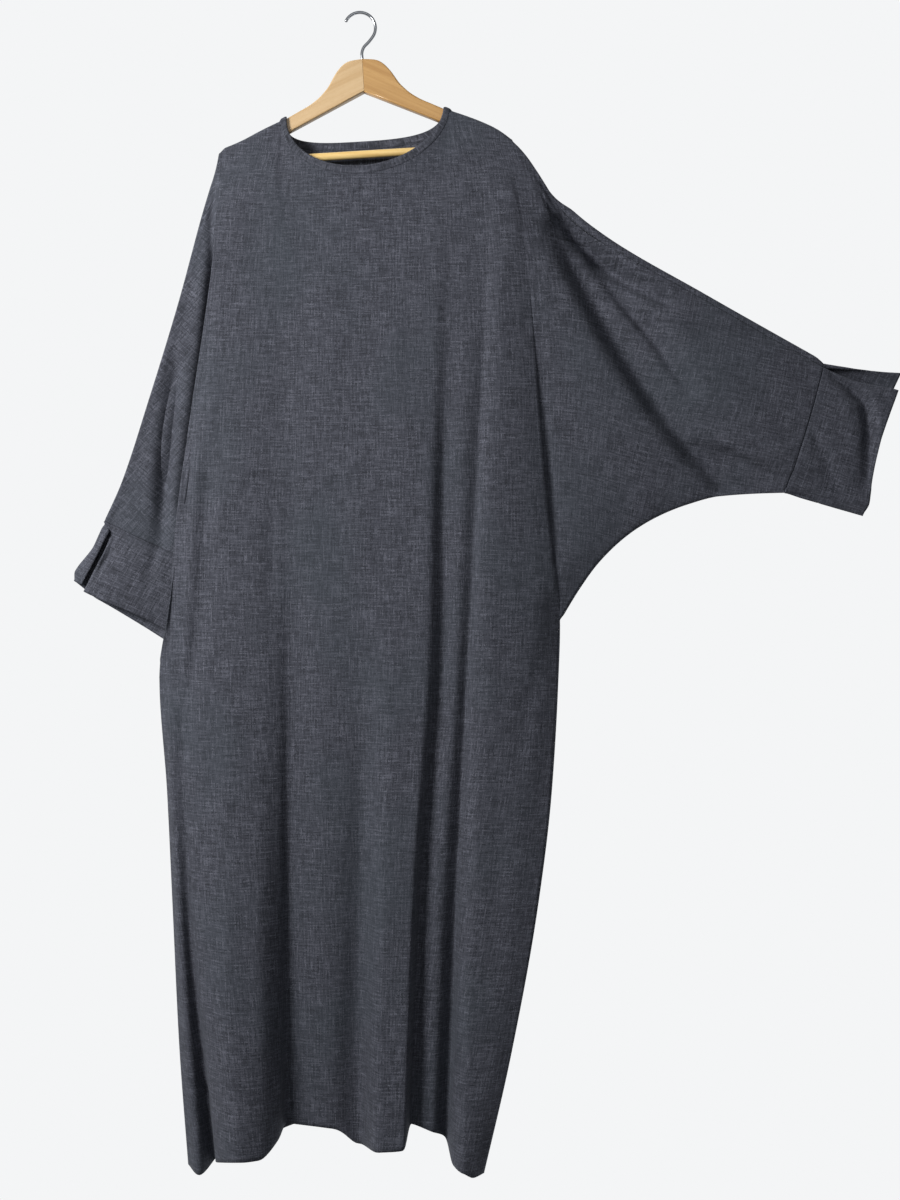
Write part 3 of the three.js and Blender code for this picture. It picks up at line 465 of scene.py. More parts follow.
# creases of the front (1) and back (-1): path, depth (negative goes in, as seen from its own side), and how far
# it reaches to the left and right of the path
drawnCreases = {
    1: [
        (
            [(282, -310), (302, -350), (330, -404), (362, -464), (426, -563), (480, -630), (528, -680)],
            -31, 44, 18,
        ),
        ([(292, -296), (320, -322), (349, -350), (386, -382), (436, -412)], -36, 10, 14),
        ([(336, -358), (372, -405), (396, -434), (424, -470), (470, -540)], -20, 14, 10),
        ([(450, -446), (520, -456), (600, -466)], -4, 7, 14),
        ([(486, -618), (530, -630), (566, -648), (616, -668)], -16, 8, 28),
        ([(234, -236), (243, -340), (249, -420), (257, -520), (268, -640), (280, -760)], -5, 8),
    ],
    -1: [
        ([(296, -300), (320, -322), (349, -350), (386, -382), (436, -412)], 22, 19),
        ([(336, -358), (372, -405), (396, -434), (424, -470), (470, -540)], 10, 20),
        ([(520, -480), (560, -560)], -5, 18),
        ([(310, -400), (380, -500), (460, -600)], 5, 26),
    ],
}
loweredCreases = {
    1: [
        (
            [(-206, -200), (-204, -265), (-205, -340), (-212, -420), (-222, -500), (-236, -590), (-254, -710)],
            -16, 10,
        ),
        ([(-262, -500), (-273, -590), (-280, -680), (-284, -756)], -16, 9, 12),
    ],
    -1: [([(-252, -480), (-280, -600), (-300, -720)], -7, 13)],
}
bodyCreases = {
    1: [
        ([(68, -400), (70, -470), (66, -530)], -1.6, 12),
        ([(38, -640), (34, -740), (30, -830)], -1.4, 10),
        ([(-122, -700), (-124, -780), (-122, -850)], -2.0, 9),
        ([(-193, -570), (-214, -740), (-228, -850), (-236, -980), (-243, -1090)], -2.6, 10),
        ([(188, -420), (176, -540), (168, -660), (160, -760)], -2.4, 11),
        ([(206, -330), (196, -420), (186, -520)], 1.8, 12),
        ([(120, -570), (114, -700), (108, -840)], -2.4, 9),
        ([(-40, -300), (-46, -420), (-44, -560)], 1.2, 22),
        ([(270, -905), (240, -980), (224, -1080)], -2.6, 12),
        ([(-226, -1524), (-212, -1540), (-194, -1553)], -5, 5),
        ([(6, -1060), (2, -1270), (-6, -1450), (-10, -1600)], -8, 19),
        ([(-203, -770), (-222, -860), (-240, -960), (-250, -1080)], -4, 9),
        ([(-236, -560), (-243, -640), (-246, -730)], -4, 6),
        ([(-214, -640), (-220, -730), (-224, -820)], -4, 8),
        ([(196, -1130), (192, -1240), (186, -1360)], -2.2, 10),
    ],
    -1: [
        ([(-120, -400), (-128, -600), (-130, -800)], -2.2, 12),
        ([(60, -500), (64, -700), (58, -900)], -2.0, 12),
        ([(200, -420), (190, -600), (180, -760)], -2.4, 11),
    ],
}
# the side seam below the lowered sleeve is puckered from the hip down
puckers = {"count": 9, "step": 17, "depth": -1.9, "reach": 4}
for k in range(puckers["count"]):
    down = puckers["step"] * k
    pucker = [(-276, -1096 - down), (-252 + 5 * (k % 3), -1100 - down), (-238 + 6 * (k % 2), -1108 - down)]
    bodyCreases[1].append((pucker, puckers["depth"], puckers["reach"]))
creaseEnds = (0.12, 0.88)  # the part of a half sine that a crease's depth follows along its path
creaseReach = 3  # reaches from the path, past which a crease no longer counts


def creaseDepth(creases, x, z):
    total = 0.0
    for path, depth, *reaches in creases:
        nearest, along, reach = 1e9, 0.0, reaches[0]
        for i in range(len(path) - 1):
            (ax, az), (bx, bz) = path[i], path[i + 1]
            t = ((x - ax) * (bx - ax) + (z - az) * (bz - az)) / ((bx - ax) ** 2 + (bz - az) ** 2)
            t = min(max(t, 0.0), 1.0)
            away = math.hypot(x - lerp(ax, bx, t), z - lerp(az, bz, t))
            if away < nearest:
                nearest, along = away, (i + t) / (len(path) - 1)
                onLeft = (bx - ax) * (z - az) - (bz - az) * (x - ax) > 0
                reach = reaches[0] if onLeft else reaches[-1]
        if nearest < reach * creaseReach:
            total += depth * math.sin(math.pi * lerp(*creaseEnds, along)) * math.exp(-((nearest / reach) ** 2))
    return total


def seamCurve(points):
    # the place at a share of a seam's length, and that length
    run = [0.0]
    for a, b in zip(points, points[1:]):
        run.append(run[-1] + math.hypot(b[0] - a[0], b[1] - a[1]))
    keys = [length / run[-1] for length in run]
    curves = [curveThrough(keys, [p[i] for p in points]) for i in range(3)]
    return (lambda at: tuple(curve(at) for curve in curves)), run[-1]


# front and back
panelGrid = {
    "perRib": {1: 8, -1: 11},  # columns from one rib to the next
    "turnRows": 9,  # rows round the top of the hanger
    "rowsAbove": 104, "rowsBelow": 96, "rowPower": 1.15,  # rows above lie closer towards the shoulders
    "sleeveColumns": 84, "columnPower": 0.92, "seamColumns": (5, 2.6, 1.2),  # mm before the cuff
    "sectionStep": 12,  # mm between the heights at which a whole section is worked out
}
seamGroove = {"depth": 0.9, "width": 2.2, "overarm": 3, "rows": 2.2}
# the sleeve's first columns run back behind the body's edge: share of the overarm, lip out of the edge, share
# of the tuck, share of the depth between the edge and the underarm seam
rootSteps = [
    (0.002, 1.5, 0.0, 0.24), (0.004, 0.0, 0.5, 0.36), (0.006, 0.0, 0.94, 0.42), (0.008, 0.0, 1.0, 0.55),
]
roll = {"start": 250, "run": 50, "depth": 13, "round": 0.6, "lip": 0.4, "endRun": 40, "endShare": 0.6}
# mm below the top over which the cloth goes over into its ribs, and from where it hangs loose
hang = {"fade": 150, "sideFade": 0.8, "looseFrom": 30, "looseRun": 90, "edge": 9}
# how quickly a sleeve takes its own form, in widths from the body: near its top edge and below it
sleeveMerge = {"top": 7, "below": 2.5, "creaseTop": 7, "creaseBelow": 9, "edge": 10}


def turnProfile(row):
    # down over the rounded top of the hanger: how far below its highest line and how far out
    count = panelGrid["turnRows"]
    if row < count:
        angle = row / (count - 1) * math.pi / 2
        return overTop["drop"] * (1 - math.cos(angle)), overTop["stand"] * math.sin(angle)
    return overTop["below"], overTop["out"]


def spread(values, per, smoothly):
    # the ribs' values, filled in with so many columns from rib to rib
    curve = curveThrough(list(range(len(values))), values)
    out = []
    for c in range((len(values) - 1) * per + 1):
        at = c / per
        i = min(int(at), len(values) - 2)
        out.append(curve(at) if smoothly else lerp(values[i], values[i + 1], at - i))
    return out


# the shoulders' corners: x, z, the way in, and how far in
softCorners = [
    (221, -181, -0.72, -0.69, 5.5), (-203, -206, 0.68, -0.73, 3.5), (-190, -196, 0.68, -0.73, -6),
]
softReach = 42


def softened(points):
    # the corners are rounded off: near each, all points draw in towards the garment
    for line in points:
        for c, (x, z, out) in enumerate(line):
            for cx, cz, inX, inZ, depth in softCorners:
                away = math.hypot(x - cx, z - cz) / softReach
                if away < 1:
                    pull = depth * (1 - away) ** 2
                    line[c] = (x + inX * pull, z + inZ * pull, out)


def rolledShare(x):
    return smooth((x - roll["start"]) / roll["run"])


# slight unevenness: width and length of the waves, their own place in the noise, and height
clothWaves = [(52, 330, 0, 1.5), (21, 120, 5, 0.75), (9.5, 26, 9, 0.22)]


def livelyCloth(x, z, facing, strength):
    seed = 3.7 if facing > 0 else 21.3
    waves = [
        noise.noise(Vector((x / width, z / length, seed + place))) * height
        for width, length, place, height in clothWaves
    ]
    return strength * sum(waves)


def bodyRows(ribs, facing):
    per = panelGrid["perRib"][facing]
    tops = spread([rib[1] for rib in ribs], per, False)
    lows = spread([rib[4] for rib in ribs], per, True)
    panelName = "front" if facing > 0 else "back"
    xCurves = [curveThrough(levels, rib[2]) for rib in ribs[1:-1]]
    outCurves = [curveThrough(levels, rib[3]) for rib in ribs[1:-1]]
    xCurves = [sideCurve["left"], *xCurves, sideCurve["right"]]
    outCurves = [depthCurve[panelName + "Left"], *outCurves, depthCurve[panelName + "Right"]]
    topPoints = [topPoint(share, facing) for share in tops]
    step = panelGrid["sectionStep"]
    sections = {}

    def sectionAt(k):
        if k not in sections:
            both = (xCurves, outCurves)
            sections[k] = [spread([at(k * step) for at in curves], per, True) for curves in both]
        return sections[k]

    def section(z, c):
        k = int(-z // step)
        t = -z / step - k
        (xs0, outs0), (xs1, outs1) = sectionAt(k), sectionAt(k + 1)
        return lerp(xs0[c], xs1[c], t), lerp(outs0[c], outs1[c], t)

    rows = []
    turnRows, above, below = panelGrid["turnRows"], panelGrid["rowsAbove"], panelGrid["rowsBelow"]
    last = len(tops) - 1
    for row in range(above + below + 1):
        line = []
        for c in range(last + 1):
            x0, z0, out0 = topPoints[c]
            share = c / last
            pit = lerp(armpit["left"], armpit["right"], share)
            dropped, clear = turnProfile(row)
            if row <= turnRows:
                z = z0 - dropped
            elif row <= above:
                down = ((row - turnRows) / (above - turnRows)) ** panelGrid["rowPower"]
                z = lerp(z0 - overTop["below"], pit, down)
            else:
                z = lerp(pit, lows[c], (row - above) / below)
            ribX, ribOut = section(z, c)
            under = z0 - z
            near = facing * max(facing * out0, clear)
            x = lerp(x0, ribX, smooth(under / (hang["fade"] * hang["sideFade"])))
            out = lerp(near, ribOut, smooth(under / hang["fade"]))
            inner = smooth((1 - abs(2 * share - 1)) * hang["edge"])
            loose = smooth((under - hang["looseFrom"]) / hang["looseRun"]) * inner
            out += facing * creaseDepth(bodyCreases[facing], x, z) * loose
            out += livelyCloth(x, z, facing, loose)
            line.append((x, z, out))
        rows.append(line)
    return rows


def sleeveRows(sleeve, creases, facing, edge):
    overarm, overRun = seamCurve(sleeve["overarm"])
    underarm, _ = seamCurve(sleeve["underarm"])
    above = panelGrid["rowsAbove"]
    count = panelGrid["sleeveColumns"]
    start0, start1, end0, end1 = overarm(0), underarm(0), overarm(1), underarm(1)
    rootAt = rootSteps[-1][0]
    begin = overarm(rootAt), underarm(rootAt)
    shares = [(k / count) ** panelGrid["columnPower"] for k in range(1, count + 1)]
    shares = sorted(shares + [1 - before / overRun for before in panelGrid["seamColumns"]])
    side, rolled = sleeve["side"], sleeve["roll"] > 0
    grid, alongs = [], [0.0] * len(rootSteps) + shares
    for row in range(above + 1):
        nearTop = row <= panelGrid["turnRows"]
        sx, sz, sOut = edge[row]
        share = min(max((start0[1] - sz) / (start0[1] - start1[1]), 0.0), 1.0)
        tuck = sideCurve[sleeve["tuck"]](-sz)
        folded = smooth(tuck / 12)
        spare = (sOut - start1[2]) * folded
        line = []
        for at, lip, tucked, back in rootSteps:
            top, bottom = overarm(at), underarm(at)
            drift = [lerp(top[i] - start0[i], bottom[i] - start1[i], share) for i in range(3)]
            line.append((
                sx + drift[0] + side * (lip * folded - tucked * tuck),
                sz + drift[1],
                sOut + drift[2] - spare * back,
            ))
        root = line[-1]
        for s in shares:
            top, bottom = overarm(lerp(rootAt, 1, s)), underarm(lerp(rootAt, 1, s))
            # the overarm seam of the drawn-out sleeve lies in a groove
            rollHere = rolledShare(top[0]) if rolled else 0.0
            groove = seamGroove["overarm"] * rollHere * math.exp(-((row / seamGroove["rows"]) ** 2))
            if row in (0, above):
                line.append((top[0], top[1], top[2] - groove) if row == 0 else bottom)
                continue
            place = [
                lerp(top[i], bottom[i], share)
                + lerp(root[i], lerp(end0[i], end1[i], share), s)
                - lerp(lerp(begin[0][i], begin[1][i], share), lerp(end0[i], end1[i], share), s)
                for i in range(2)
            ]
            full = sleeve["swell"][facing] * math.sin(math.pi * share ** sleeve["lean"]) ** 0.6
            rounded = turnProfile(row)[1] * roll["round"] * (1 - rollHere) * (1 - smooth((share - 0.03) / 0.12))
            behind = roll["depth"] * rollHere if facing < 0 else 0.0
            settled = facing * max(full, rounded) + lerp(top[2] - behind, bottom[2], share)
            merge = smooth(s * sleeveMerge["top" if nearTop else "below"])
            edgeFade = smooth(min(share, 1 - share) * sleeveMerge["edge"]) * merge
            out = lerp(root[2], settled, merge)
            creased = smooth(s * sleeveMerge["creaseTop" if nearTop else "creaseBelow"])
            out += facing * creaseDepth(creases, place[0], place[1]) * creased
            if facing > 0:
                out -= groove
            # the waves run down along the arm: their own axes are turned by 0.8 and 0.6, a 3-4-5 triangle
            waveX, waveZ = place[0] * 0.8 + place[1] * 0.6, place[1] * 0.8 - place[0] * 0.6
            out += livelyCloth(waveX, waveZ, facing, 0.9 * edgeFade)
            seamDip = math.exp(-(((1 - s) * overRun / seamGroove["width"]) ** 2)) * seamGroove["depth"]
            line.append((place[0], place[1], out - facing * seamDip))
        grid.append(line)
    if facing < 0 and rolled:
        rollOverarm(grid, sleeve)
    return grid, alongs


def rollOverarm(grid, sleeve):
    # the back comes over the top of the drawn-out arm, down to the seam on its front
    last = len(grid[0]) - 1
    turnRows = panelGrid["turnRows"]
    end = sleeve["overarm"][-1][0]
    for c in range(last + 1):
        seam = grid[0][c]
        share = rolledShare(seam[0])
        if share <= 0:
            continue
        before, after = grid[0][max(c - 1, 0)], grid[0][min(c + 1, last)]
        dx, dz = after[0] - before[0], after[1] - before[1]
        run = math.hypot(dx, dz) or 1
        up = (-dz / run, dx / run)
        amount = sleeve["roll"] * share * smooth((end - seam[0]) / roll["endRun"] + roll["endShare"])
        for row in range(turnRows + 1):
            angle = row / turnRows
            rise = math.sin(math.pi * angle**0.8) ** 0.7
            back = roll["lip"] + (roll["depth"] - roll["lip"]) * angle**1.3
            x, z, out = grid[row][c]
            grid[row][c] = (
                lerp(x, seam[0] + up[0] * amount * rise, share),
                lerp(z, seam[1] + up[1] * amount * rise, share),
                lerp(out, seam[2] - back, share),
            )


def weaveOfBody(rows):
    # cloth laid out flat: distances along each row from the middle, and down each row
    middle = len(rows[0]) // 2
    us, vs = [], []
    for line in rows:
        u = [0.0] * len(line)
        for c in range(middle + 1, len(line)):
            u[c] = u[c - 1] + math.dist(line[c], line[c - 1])
        for c in range(middle - 1, -1, -1):
            u[c] = u[c + 1] - math.dist(line[c], line[c + 1])
        us.append([value + line[middle][0] for value in u])
        vs.append([point[1] for point in line])
    return us, vs


def weaveOfSleeve(sleeve, grid, alongs, rootU, rootV):
    # the body's weave carried on into the sleeve, turning to the sleeve's own grain
    angle, (px, pz) = sleeve["grain"], sleeve["pivot"]
    c, s = math.cos(angle), math.sin(angle)
    us, vs = [], []
    for row, line in enumerate(grid):
        us.append([])
        vs.append([])
        for point, along in zip(line, alongs):
            dx, dz = point[0] - px, point[1] - pz
            share = smooth(along / sleeve["turnRun"])
            us[row].append(lerp(rootU[row] + (point[0] - line[0][0]), px + c * dx + s * dz, share))
            vs[row].append(lerp(rootV[row] + (point[1] - line[0][1]), pz - s * dx + c * dz, share))
    return us, vs


def finishPiece(bm, name, material, thickness=None):
    mesh = bpy.data.meshes.new(name)
    bm.to_mesh(mesh)
    bm.free()
    for polygon in mesh.polygons:
        polygon.use_smooth = True
    mesh.materials.append(material)
    piece = bpy.data.objects.new(name, mesh)
    scene.collection.objects.link(piece)
    if thickness:
        wall = piece.modifiers.new("wall", "SOLIDIFY")
        wall.thickness = thickness * mm
        wall.offset = 0
    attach(piece, "root")
    return piece


def mappedGrid(points, weave, flip=False, keep=None):
    # a bmesh grid whose corners are moved to points[row][column], with its weave as a UV map
    rows, columns = len(points) - 1, len(points[0]) - 1
    bm = bmesh.new()
    bmesh.ops.create_grid(bm, x_segments=columns, y_segments=rows, size=1.0)
    place = {
        vert: (round((1 - vert.co.y) / 2 * rows), round((vert.co.x + 1) / 2 * columns)) for vert in bm.verts
    }
    if keep:
        bmesh.ops.delete(bm, geom=[vert for vert in bm.verts if not keep(*place[vert])], context="VERTS")
    layer = bm.loops.layers.uv.new("weave")
    for face in bm.faces:
        for loop in face.loops:
            r, c = place[loop.vert]
            loop[layer].uv = (weave[0][r][c] * mm, weave[1][r][c] * mm)
    for vert in bm.verts:
        r, c = place[vert]
        x, z, out = points[r][c]
        vert.co = (x * mm, -out * mm, z * mm)
    bm.normal_update()
    if flip:
        bmesh.ops.reverse_faces(bm, faces=bm.faces)
    return bm


def makePanel(name, ribs, facing):
    body = bodyRows(ribs, facing)
    bodyU, bodyV = weaveOfBody(body)
    above = panelGrid["rowsAbove"]

    def makeSleeve(sleeve, creases, end):
        grid, alongs = sleeveRows(sleeve, creases[facing], facing, [line[end] for line in body])
        return grid, *weaveOfSleeve(sleeve, grid, alongs, [u[end] for u in bodyU], [v[end] for v in bodyV])

    left, leftU, leftV = makeSleeve(loweredSleeve, loweredCreases, 0)
    right, rightU, rightV = makeSleeve(drawnSleeve, drawnCreases, -1)

    def joined(leftRows, middleRows, rightRows, blank):
        rows = []
        for row, line in enumerate(middleRows):
            if row <= above:
                rows.append(leftRows[row][::-1] + line + rightRows[row])
            else:
                rows.append([blank] * len(left[0]) + line + [blank] * len(right[0]))
        return rows

    points = joined(left, body, right, (0, 0, 0))
    us, vs = joined(leftU, bodyU, rightU, 0), joined(leftV, bodyV, rightV, 0)
    softened(points)
    first, last = len(left[0]), len(left[0]) + len(body[0]) - 1
    bm = mappedGrid(points, (us, vs), facing < 0, lambda r, c: r <= above or first <= c <= last)
    piece = finishPiece(bm, name, charcoalLinen, clothThickness)
    print(name, "has", len(piece.data.polygons), "faces")
    return piece, [[line[-1] for line in rows] for rows in (left, right)]


frontPanel, frontCuffs = makePanel("frontPanel", frontRibs, 1)
backPanel, backCuffs = makePanel("backPanel", backRibs, -1)
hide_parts("front")
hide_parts("back")
print("front and back made")


# cuffs, open along the overarm and folded at the underarm: where their mouths end, and how they hang
cuffs = {
    "cuffLowered": {
        "node": "cuff_lowered", "side": -1, "frontCorner": (-397, -825, 10), "backCorner": (-408, -813, -9),
        "fold": (-250, -906, 0), "swell": (11, 12), "lean": 0.6, "lower": 8, "lift": 7, "hollow": 2,
        "slitIn": 20, "slitSag": 0, "wrap": 15, "outset": 10, "chamfer": 0, "turn": 0, "groove": 2.8,
        "noisePlace": 8.8,
        "creases": [([(-352, -766), (-371, -792), (-384, -812)], -4, 6)],
    },
    "cuffDrawn": {
        "node": "cuff_drawn", "side": 1, "frontCorner": (767, -541, 13), "backCorner": (779, -512, -13),
        "fold": (727, -719, 0), "swell": (20, 16), "lean": 1, "lower": 0, "lift": 0, "hollow": 11,
        "slitIn": 0, "slitSag": 5, "wrap": 0, "outset": 0, "chamfer": 5, "turn": 7, "groove": 1.5,
        "noisePlace": 4.4,
        "creases": [
            ([(674, -510), (700, -534), (722, -558), (727, -600), (724, -670)], -16, 7, 13),
            ([(640, -596), (664, -640), (686, -690)], -5, 7, 12),
        ],
    },
}
parting = 1.4  # the front and back layers start this far apart at the top of the slit
cuffGap = 0.45  # between the sleeve's edge and the cuff's
cuffRings = 34
edgeWidth = 0.13  # share of the back layer that is folded round the slit
wrapStand = 11  # how far the folded edge stands out in front of the back layer


def layerOf(share):
    # a share of the way round the cuff: in the front (1) or back layer (-1), and how far down from the slit
    return (1, share * 2) if share <= 0.5 else (-1, (1 - share) * 2)


def makeCuff(name, cuff, frontEdge, backEdge):
    rows = len(frontEdge) - 1
    seam = [list(p) for p in frontEdge] + [list(p) for p in backEdge[:-1][::-1]]
    seam[rows][2] = (frontEdge[rows][2] + backEdge[rows][2]) / 2
    seam[0][2] += parting
    seam[-1][2] -= parting
    heart = [(seam[0][i] + seam[rows][i]) / 2 for i in range(2)]
    tip = [(cuff["frontCorner"][i] + cuff["fold"][i]) / 2 for i in range(2)]
    run = math.dist(heart, tip)
    axis = [(tip[i] - heart[i]) / run for i in range(2)]
    across = (axis[1] * cuff["side"], -axis[0] * cuff["side"])  # from the slit towards the fold

    def mouth(share):
        # the mouth's edge, from the front corner (0) over the fold (0.5) to the back corner (1)
        facing, down = layerOf(share)
        inFront = facing > 0
        corner = cuff["frontCorner" if inFront else "backCorner"]
        swell = cuff["swell"][0] if inFront else -cuff["swell"][1]
        belly = math.sin(math.pi * down ** cuff["lean"]) ** 0.8 if 0 < down < 1 else 0.0
        # it curves in between its corner and its fold, and is cut off a little at the fold
        hollow = cuff["hollow"] * math.sin(math.pi * down) + cuff["chamfer"] * smooth((down - 0.86) / 0.14) ** 2
        # in front it hangs a little higher than at the back, up to the fold
        apart = smooth(down * (1.4 if inFront else 5))
        hollow += (cuff["lift"] if inFront else -cuff["lower"]) * apart * (1 - smooth((down - 0.8) * 5))
        return (
            lerp(corner[0], cuff["fold"][0], down) - axis[0] * hollow,
            lerp(corner[1], cuff["fold"][1], down) - axis[1] * hollow,
            lerp(corner[2], cuff["fold"][2], down ** cuff["lean"]) + swell * belly * 0.75,
        )

    def between(point, share, t):
        # from the seam to the mouth at that share
        to = mouth(share)
        return [lerp(point[k] + axis[k] * cuffGap, to[k], t) for k in range(2)]

    wrapSeam = seam[rows + round(rows * (1 - edgeWidth))]
    rings = [0, 0.008, 0.02, 0.04] + [0.06 + 0.94 * i / cuffRings for i in range(cuffRings + 1)]
    grid, us, vs = [], [], []
    for t in rings:
        line, u = [], [0.0]
        for i, point in enumerate(seam):
            share = i / rows * 0.5 if i <= rows else 0.5 + (i - rows) / rows * 0.5
            facing, down = layerOf(share)
            x, z = between(point, share, t)
            wave = 1.6 * noise.noise(Vector((share * 9, t * 1.6, cuff["noisePlace"])))
            loose = smooth(t * 3) * smooth(down * 12) * smooth((1 - down) * 14)
            out = lerp(point[2], mouth(share)[2], smooth(t * 1.15)) + facing * wave * loose
            out -= facing * cuff["groove"] * math.exp(-((t * run / seamGroove["width"]) ** 2))
            if facing > 0:
                # the front layer draws back from the slit and sags below it
                near = max(0, 1 - down * 3) ** 1.5
                inward = cuff["slitIn"] * near * smooth(t * 7) * (1 - 0.75 * t)
                sag = cuff["slitSag"] * near * math.sin(math.pi * min(t * 1.1, 1))
                x += across[0] * inward
                z += across[1] * inward - sag
                creased = smooth(t * 6) * smooth(down * 8) * smooth((1 - down) * 9)
                out += creaseDepth(cuff["creases"], x, z) * creased
            elif cuff["wrap"]:
                # the back layer's edge is folded round to the front of the slit
                edgeShare = min(down / edgeWidth, 1)
                edge, inner = between(seam[-1], 1, t), between(wrapSeam, 1 - edgeWidth / 2, t)
                outset = cuff["outset"] * smooth((t - 0.36) * 1.9) * (1 - 0.5 * smooth((t - 0.86) * 7))
                crest = [edge[k] - across[k] * outset for k in range(2)]
                brought = cuff["wrap"] * (1 - 0.3 * t)
                turned = smooth(t * 9) * (1 - smooth((edgeShare - 0.8) * 5))
                if edgeShare > 0.5:
                    place = [lerp(crest[k], inner[k], edgeShare * 2 - 1) for k in range(2)]
                else:
                    place = [lerp(edge[k] + across[k] * brought, crest[k], edgeShare * 2) for k in range(2)]
                x, z = lerp(x, place[0], turned), lerp(z, place[1], turned)
                out += wrapStand * smooth((0.62 - edgeShare) * 2.2) * smooth(t * 7)
            out -= cuff["turn"] * smooth((down - 0.91) / 0.09) * smooth(t * 4)
            line.append((x, z, out))
            if i:
                u.append(u[-1] + math.dist(line[i], line[i - 1]))
        grid.append(line)
        us.append([value - u[rows] for value in u])
        vs.append([-run * t] * len(u))
    bm = mappedGrid(grid, (us, vs), cuff["side"] < 0)
    piece = finishPiece(bm, name, charcoalLinen, clothThickness * 1.5)
    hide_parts(cuff["node"])
    return piece


cuffLowered = makeCuff("cuffLowered", cuffs["cuffLowered"], frontCuffs[0], backCuffs[0])
cuffDrawn = makeCuff("cuffDrawn", cuffs["cuffDrawn"], frontCuffs[1], backCuffs[1])
print("cuffs made")


# neck band
neckBandLook = {"sections": 190, "round": 14, "height": 1.5, "girth": 22}


def makeNeckBand():
    half, around = neckBandLook["sections"] // 2, neckBandLook["round"]
    walk = [(-facing + facing * 2 * i / half, facing) for facing in (1, -1) for i in range(half)]
    centres = []
    for share, facing in walk + walk[:1]:
        inner, outer = neckPoint(share, 0, facing), neckPoint(share, neck["band"], facing)
        centres.append((Vector((inner[0], -inner[2], inner[1])), Vector((outer[0], -outer[2], outer[1]))))
    grid, us, vs = [], [], []
    length = 0.0
    for i, (inner, outer) in enumerate(centres):
        after = centres[(i + 1) % (len(centres) - 1)]
        before = centres[(i - 1) % (len(centres) - 1)]
        along = (after[0] + after[1]) - (before[0] + before[1])
        across = outer - inner
        normal = along.cross(across).normalized()
        middle = (inner + outer) / 2
        if i:
            length += (middle - (sum(centres[i - 1], Vector()) / 2)).length
        line = []
        for k in range(around + 1):
            angle = k / around * math.tau
            flat = math.copysign(abs(math.cos(angle)) ** 0.5, math.cos(angle))
            thick = math.copysign(abs(math.sin(angle)) ** 0.8, math.sin(angle))
            point = middle + across * 0.5 * flat + normal * neckBandLook["height"] * thick
            line.append((point.x, point.z, -point.y))
        grid.append(line)
        us.append([k / around * neckBandLook["girth"] for k in range(around + 1)])
        vs.append([length] * len(line))
    bm = mappedGrid(grid, (us, vs))
    bmesh.ops.remove_doubles(bm, verts=bm.verts, dist=0.02 * mm)
    bmesh.ops.recalc_face_normals(bm, faces=bm.faces)
    return finishPiece(bm, "neckBand", bandLinen)


neckBand = makeNeckBand()
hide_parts("neck_band")
print("neck band made")


# hanger
armOutline = [
    (0, 0), (10, -0.6), (20, -2), (27.5, -6), (34, -12), (41, -21), (47, -31), (51.5, -38), (57, -44),
    (64, -51), (72, -57), (81.5, -63), (92, -68), (103, -73.5), (116, -80), (146, -94.8), (172, -107.9),
    (190, -118), (195.5, -122.4), (198.6, -127.5), (199.6, -133), (199.2, -140), (196.6, -145), (193, -147),
    (189, -147), (178, -147), (178, -129), (143, -113), (108, -97), (80, -84), (40, -65.5), (0, -47),
]
squareEnd = 8  # the last points of the outline keep their corners


def makeArm(name, side, material):
    outline = [Vector((x if x else hanger["jointGap"], z)) for x, z in armOutline]
    for _ in range(2):  # corners are cut twice along the top and round the tip
        rounded = outline[:1]
        for a, b in zip(outline[:-squareEnd], outline[1 : 1 - squareEnd]):
            rounded += [a.lerp(b, 0.25), a.lerp(b, 0.75)]
        outline = rounded + outline[-squareEnd:]
    count = len(outline)
    # each corner moves in along the mean of its two edges' normals
    inward = []
    for i, corner in enumerate(outline):
        before, after = corner - outline[i - 1], outline[(i + 1) % count] - corner
        before, after = (Vector((edge.y, -edge.x)).normalized() for edge in (before, after))
        normal = (before + after).normalized()
        inward.append(normal / max(normal.dot(after), 0.5))
    half = hanger["thickness"] / 2
    rounding, steps = 2.2, 6
    rings = []
    for i in range(steps, -1, -1):
        angle = i / steps * math.pi / 2
        rings.append((-half + rounding * (1 - math.sin(angle)), rounding * (1 - math.cos(angle))))
    rings += [(-y, inset) for y, inset in rings[::-1]]
    bm = bmesh.new()
    loops = []
    for y, inset in rings:
        loop = []
        for corner, normal in zip(outline, inward):
            # the joint in the middle stays square
            move = normal * inset if corner.x > 1 else Vector((0, normal.y * inset))
            x, z = tilted(side * (corner.x + move.x), corner.y + move.y)
            loop.append(bm.verts.new((x * mm, y * mm, z * mm)))
        loops.append(loop)
    for a, b in zip(loops, loops[1:]):
        for i in range(count):
            bm.faces.new((a[i - 1], a[i], b[i], b[i - 1]))
    caps = [bm.faces.new(loops[0]), bm.faces.new(loops[-1])]
    bmesh.ops.triangulate(bm, faces=caps)
    bmesh.ops.recalc_face_normals(bm, faces=bm.faces)
    piece = finishPiece(bm, name, material)
    for polygon in piece.data.polygons:
        polygon.use_smooth = len(polygon.vertices) == 4
    return piece


armLeft = makeArm("hangerArmLeft", -1, beechLeft)
armRight = makeArm("hangerArmRight", 1, beechRight)
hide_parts("hanger_arm_left")
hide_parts("hanger_arm_right")


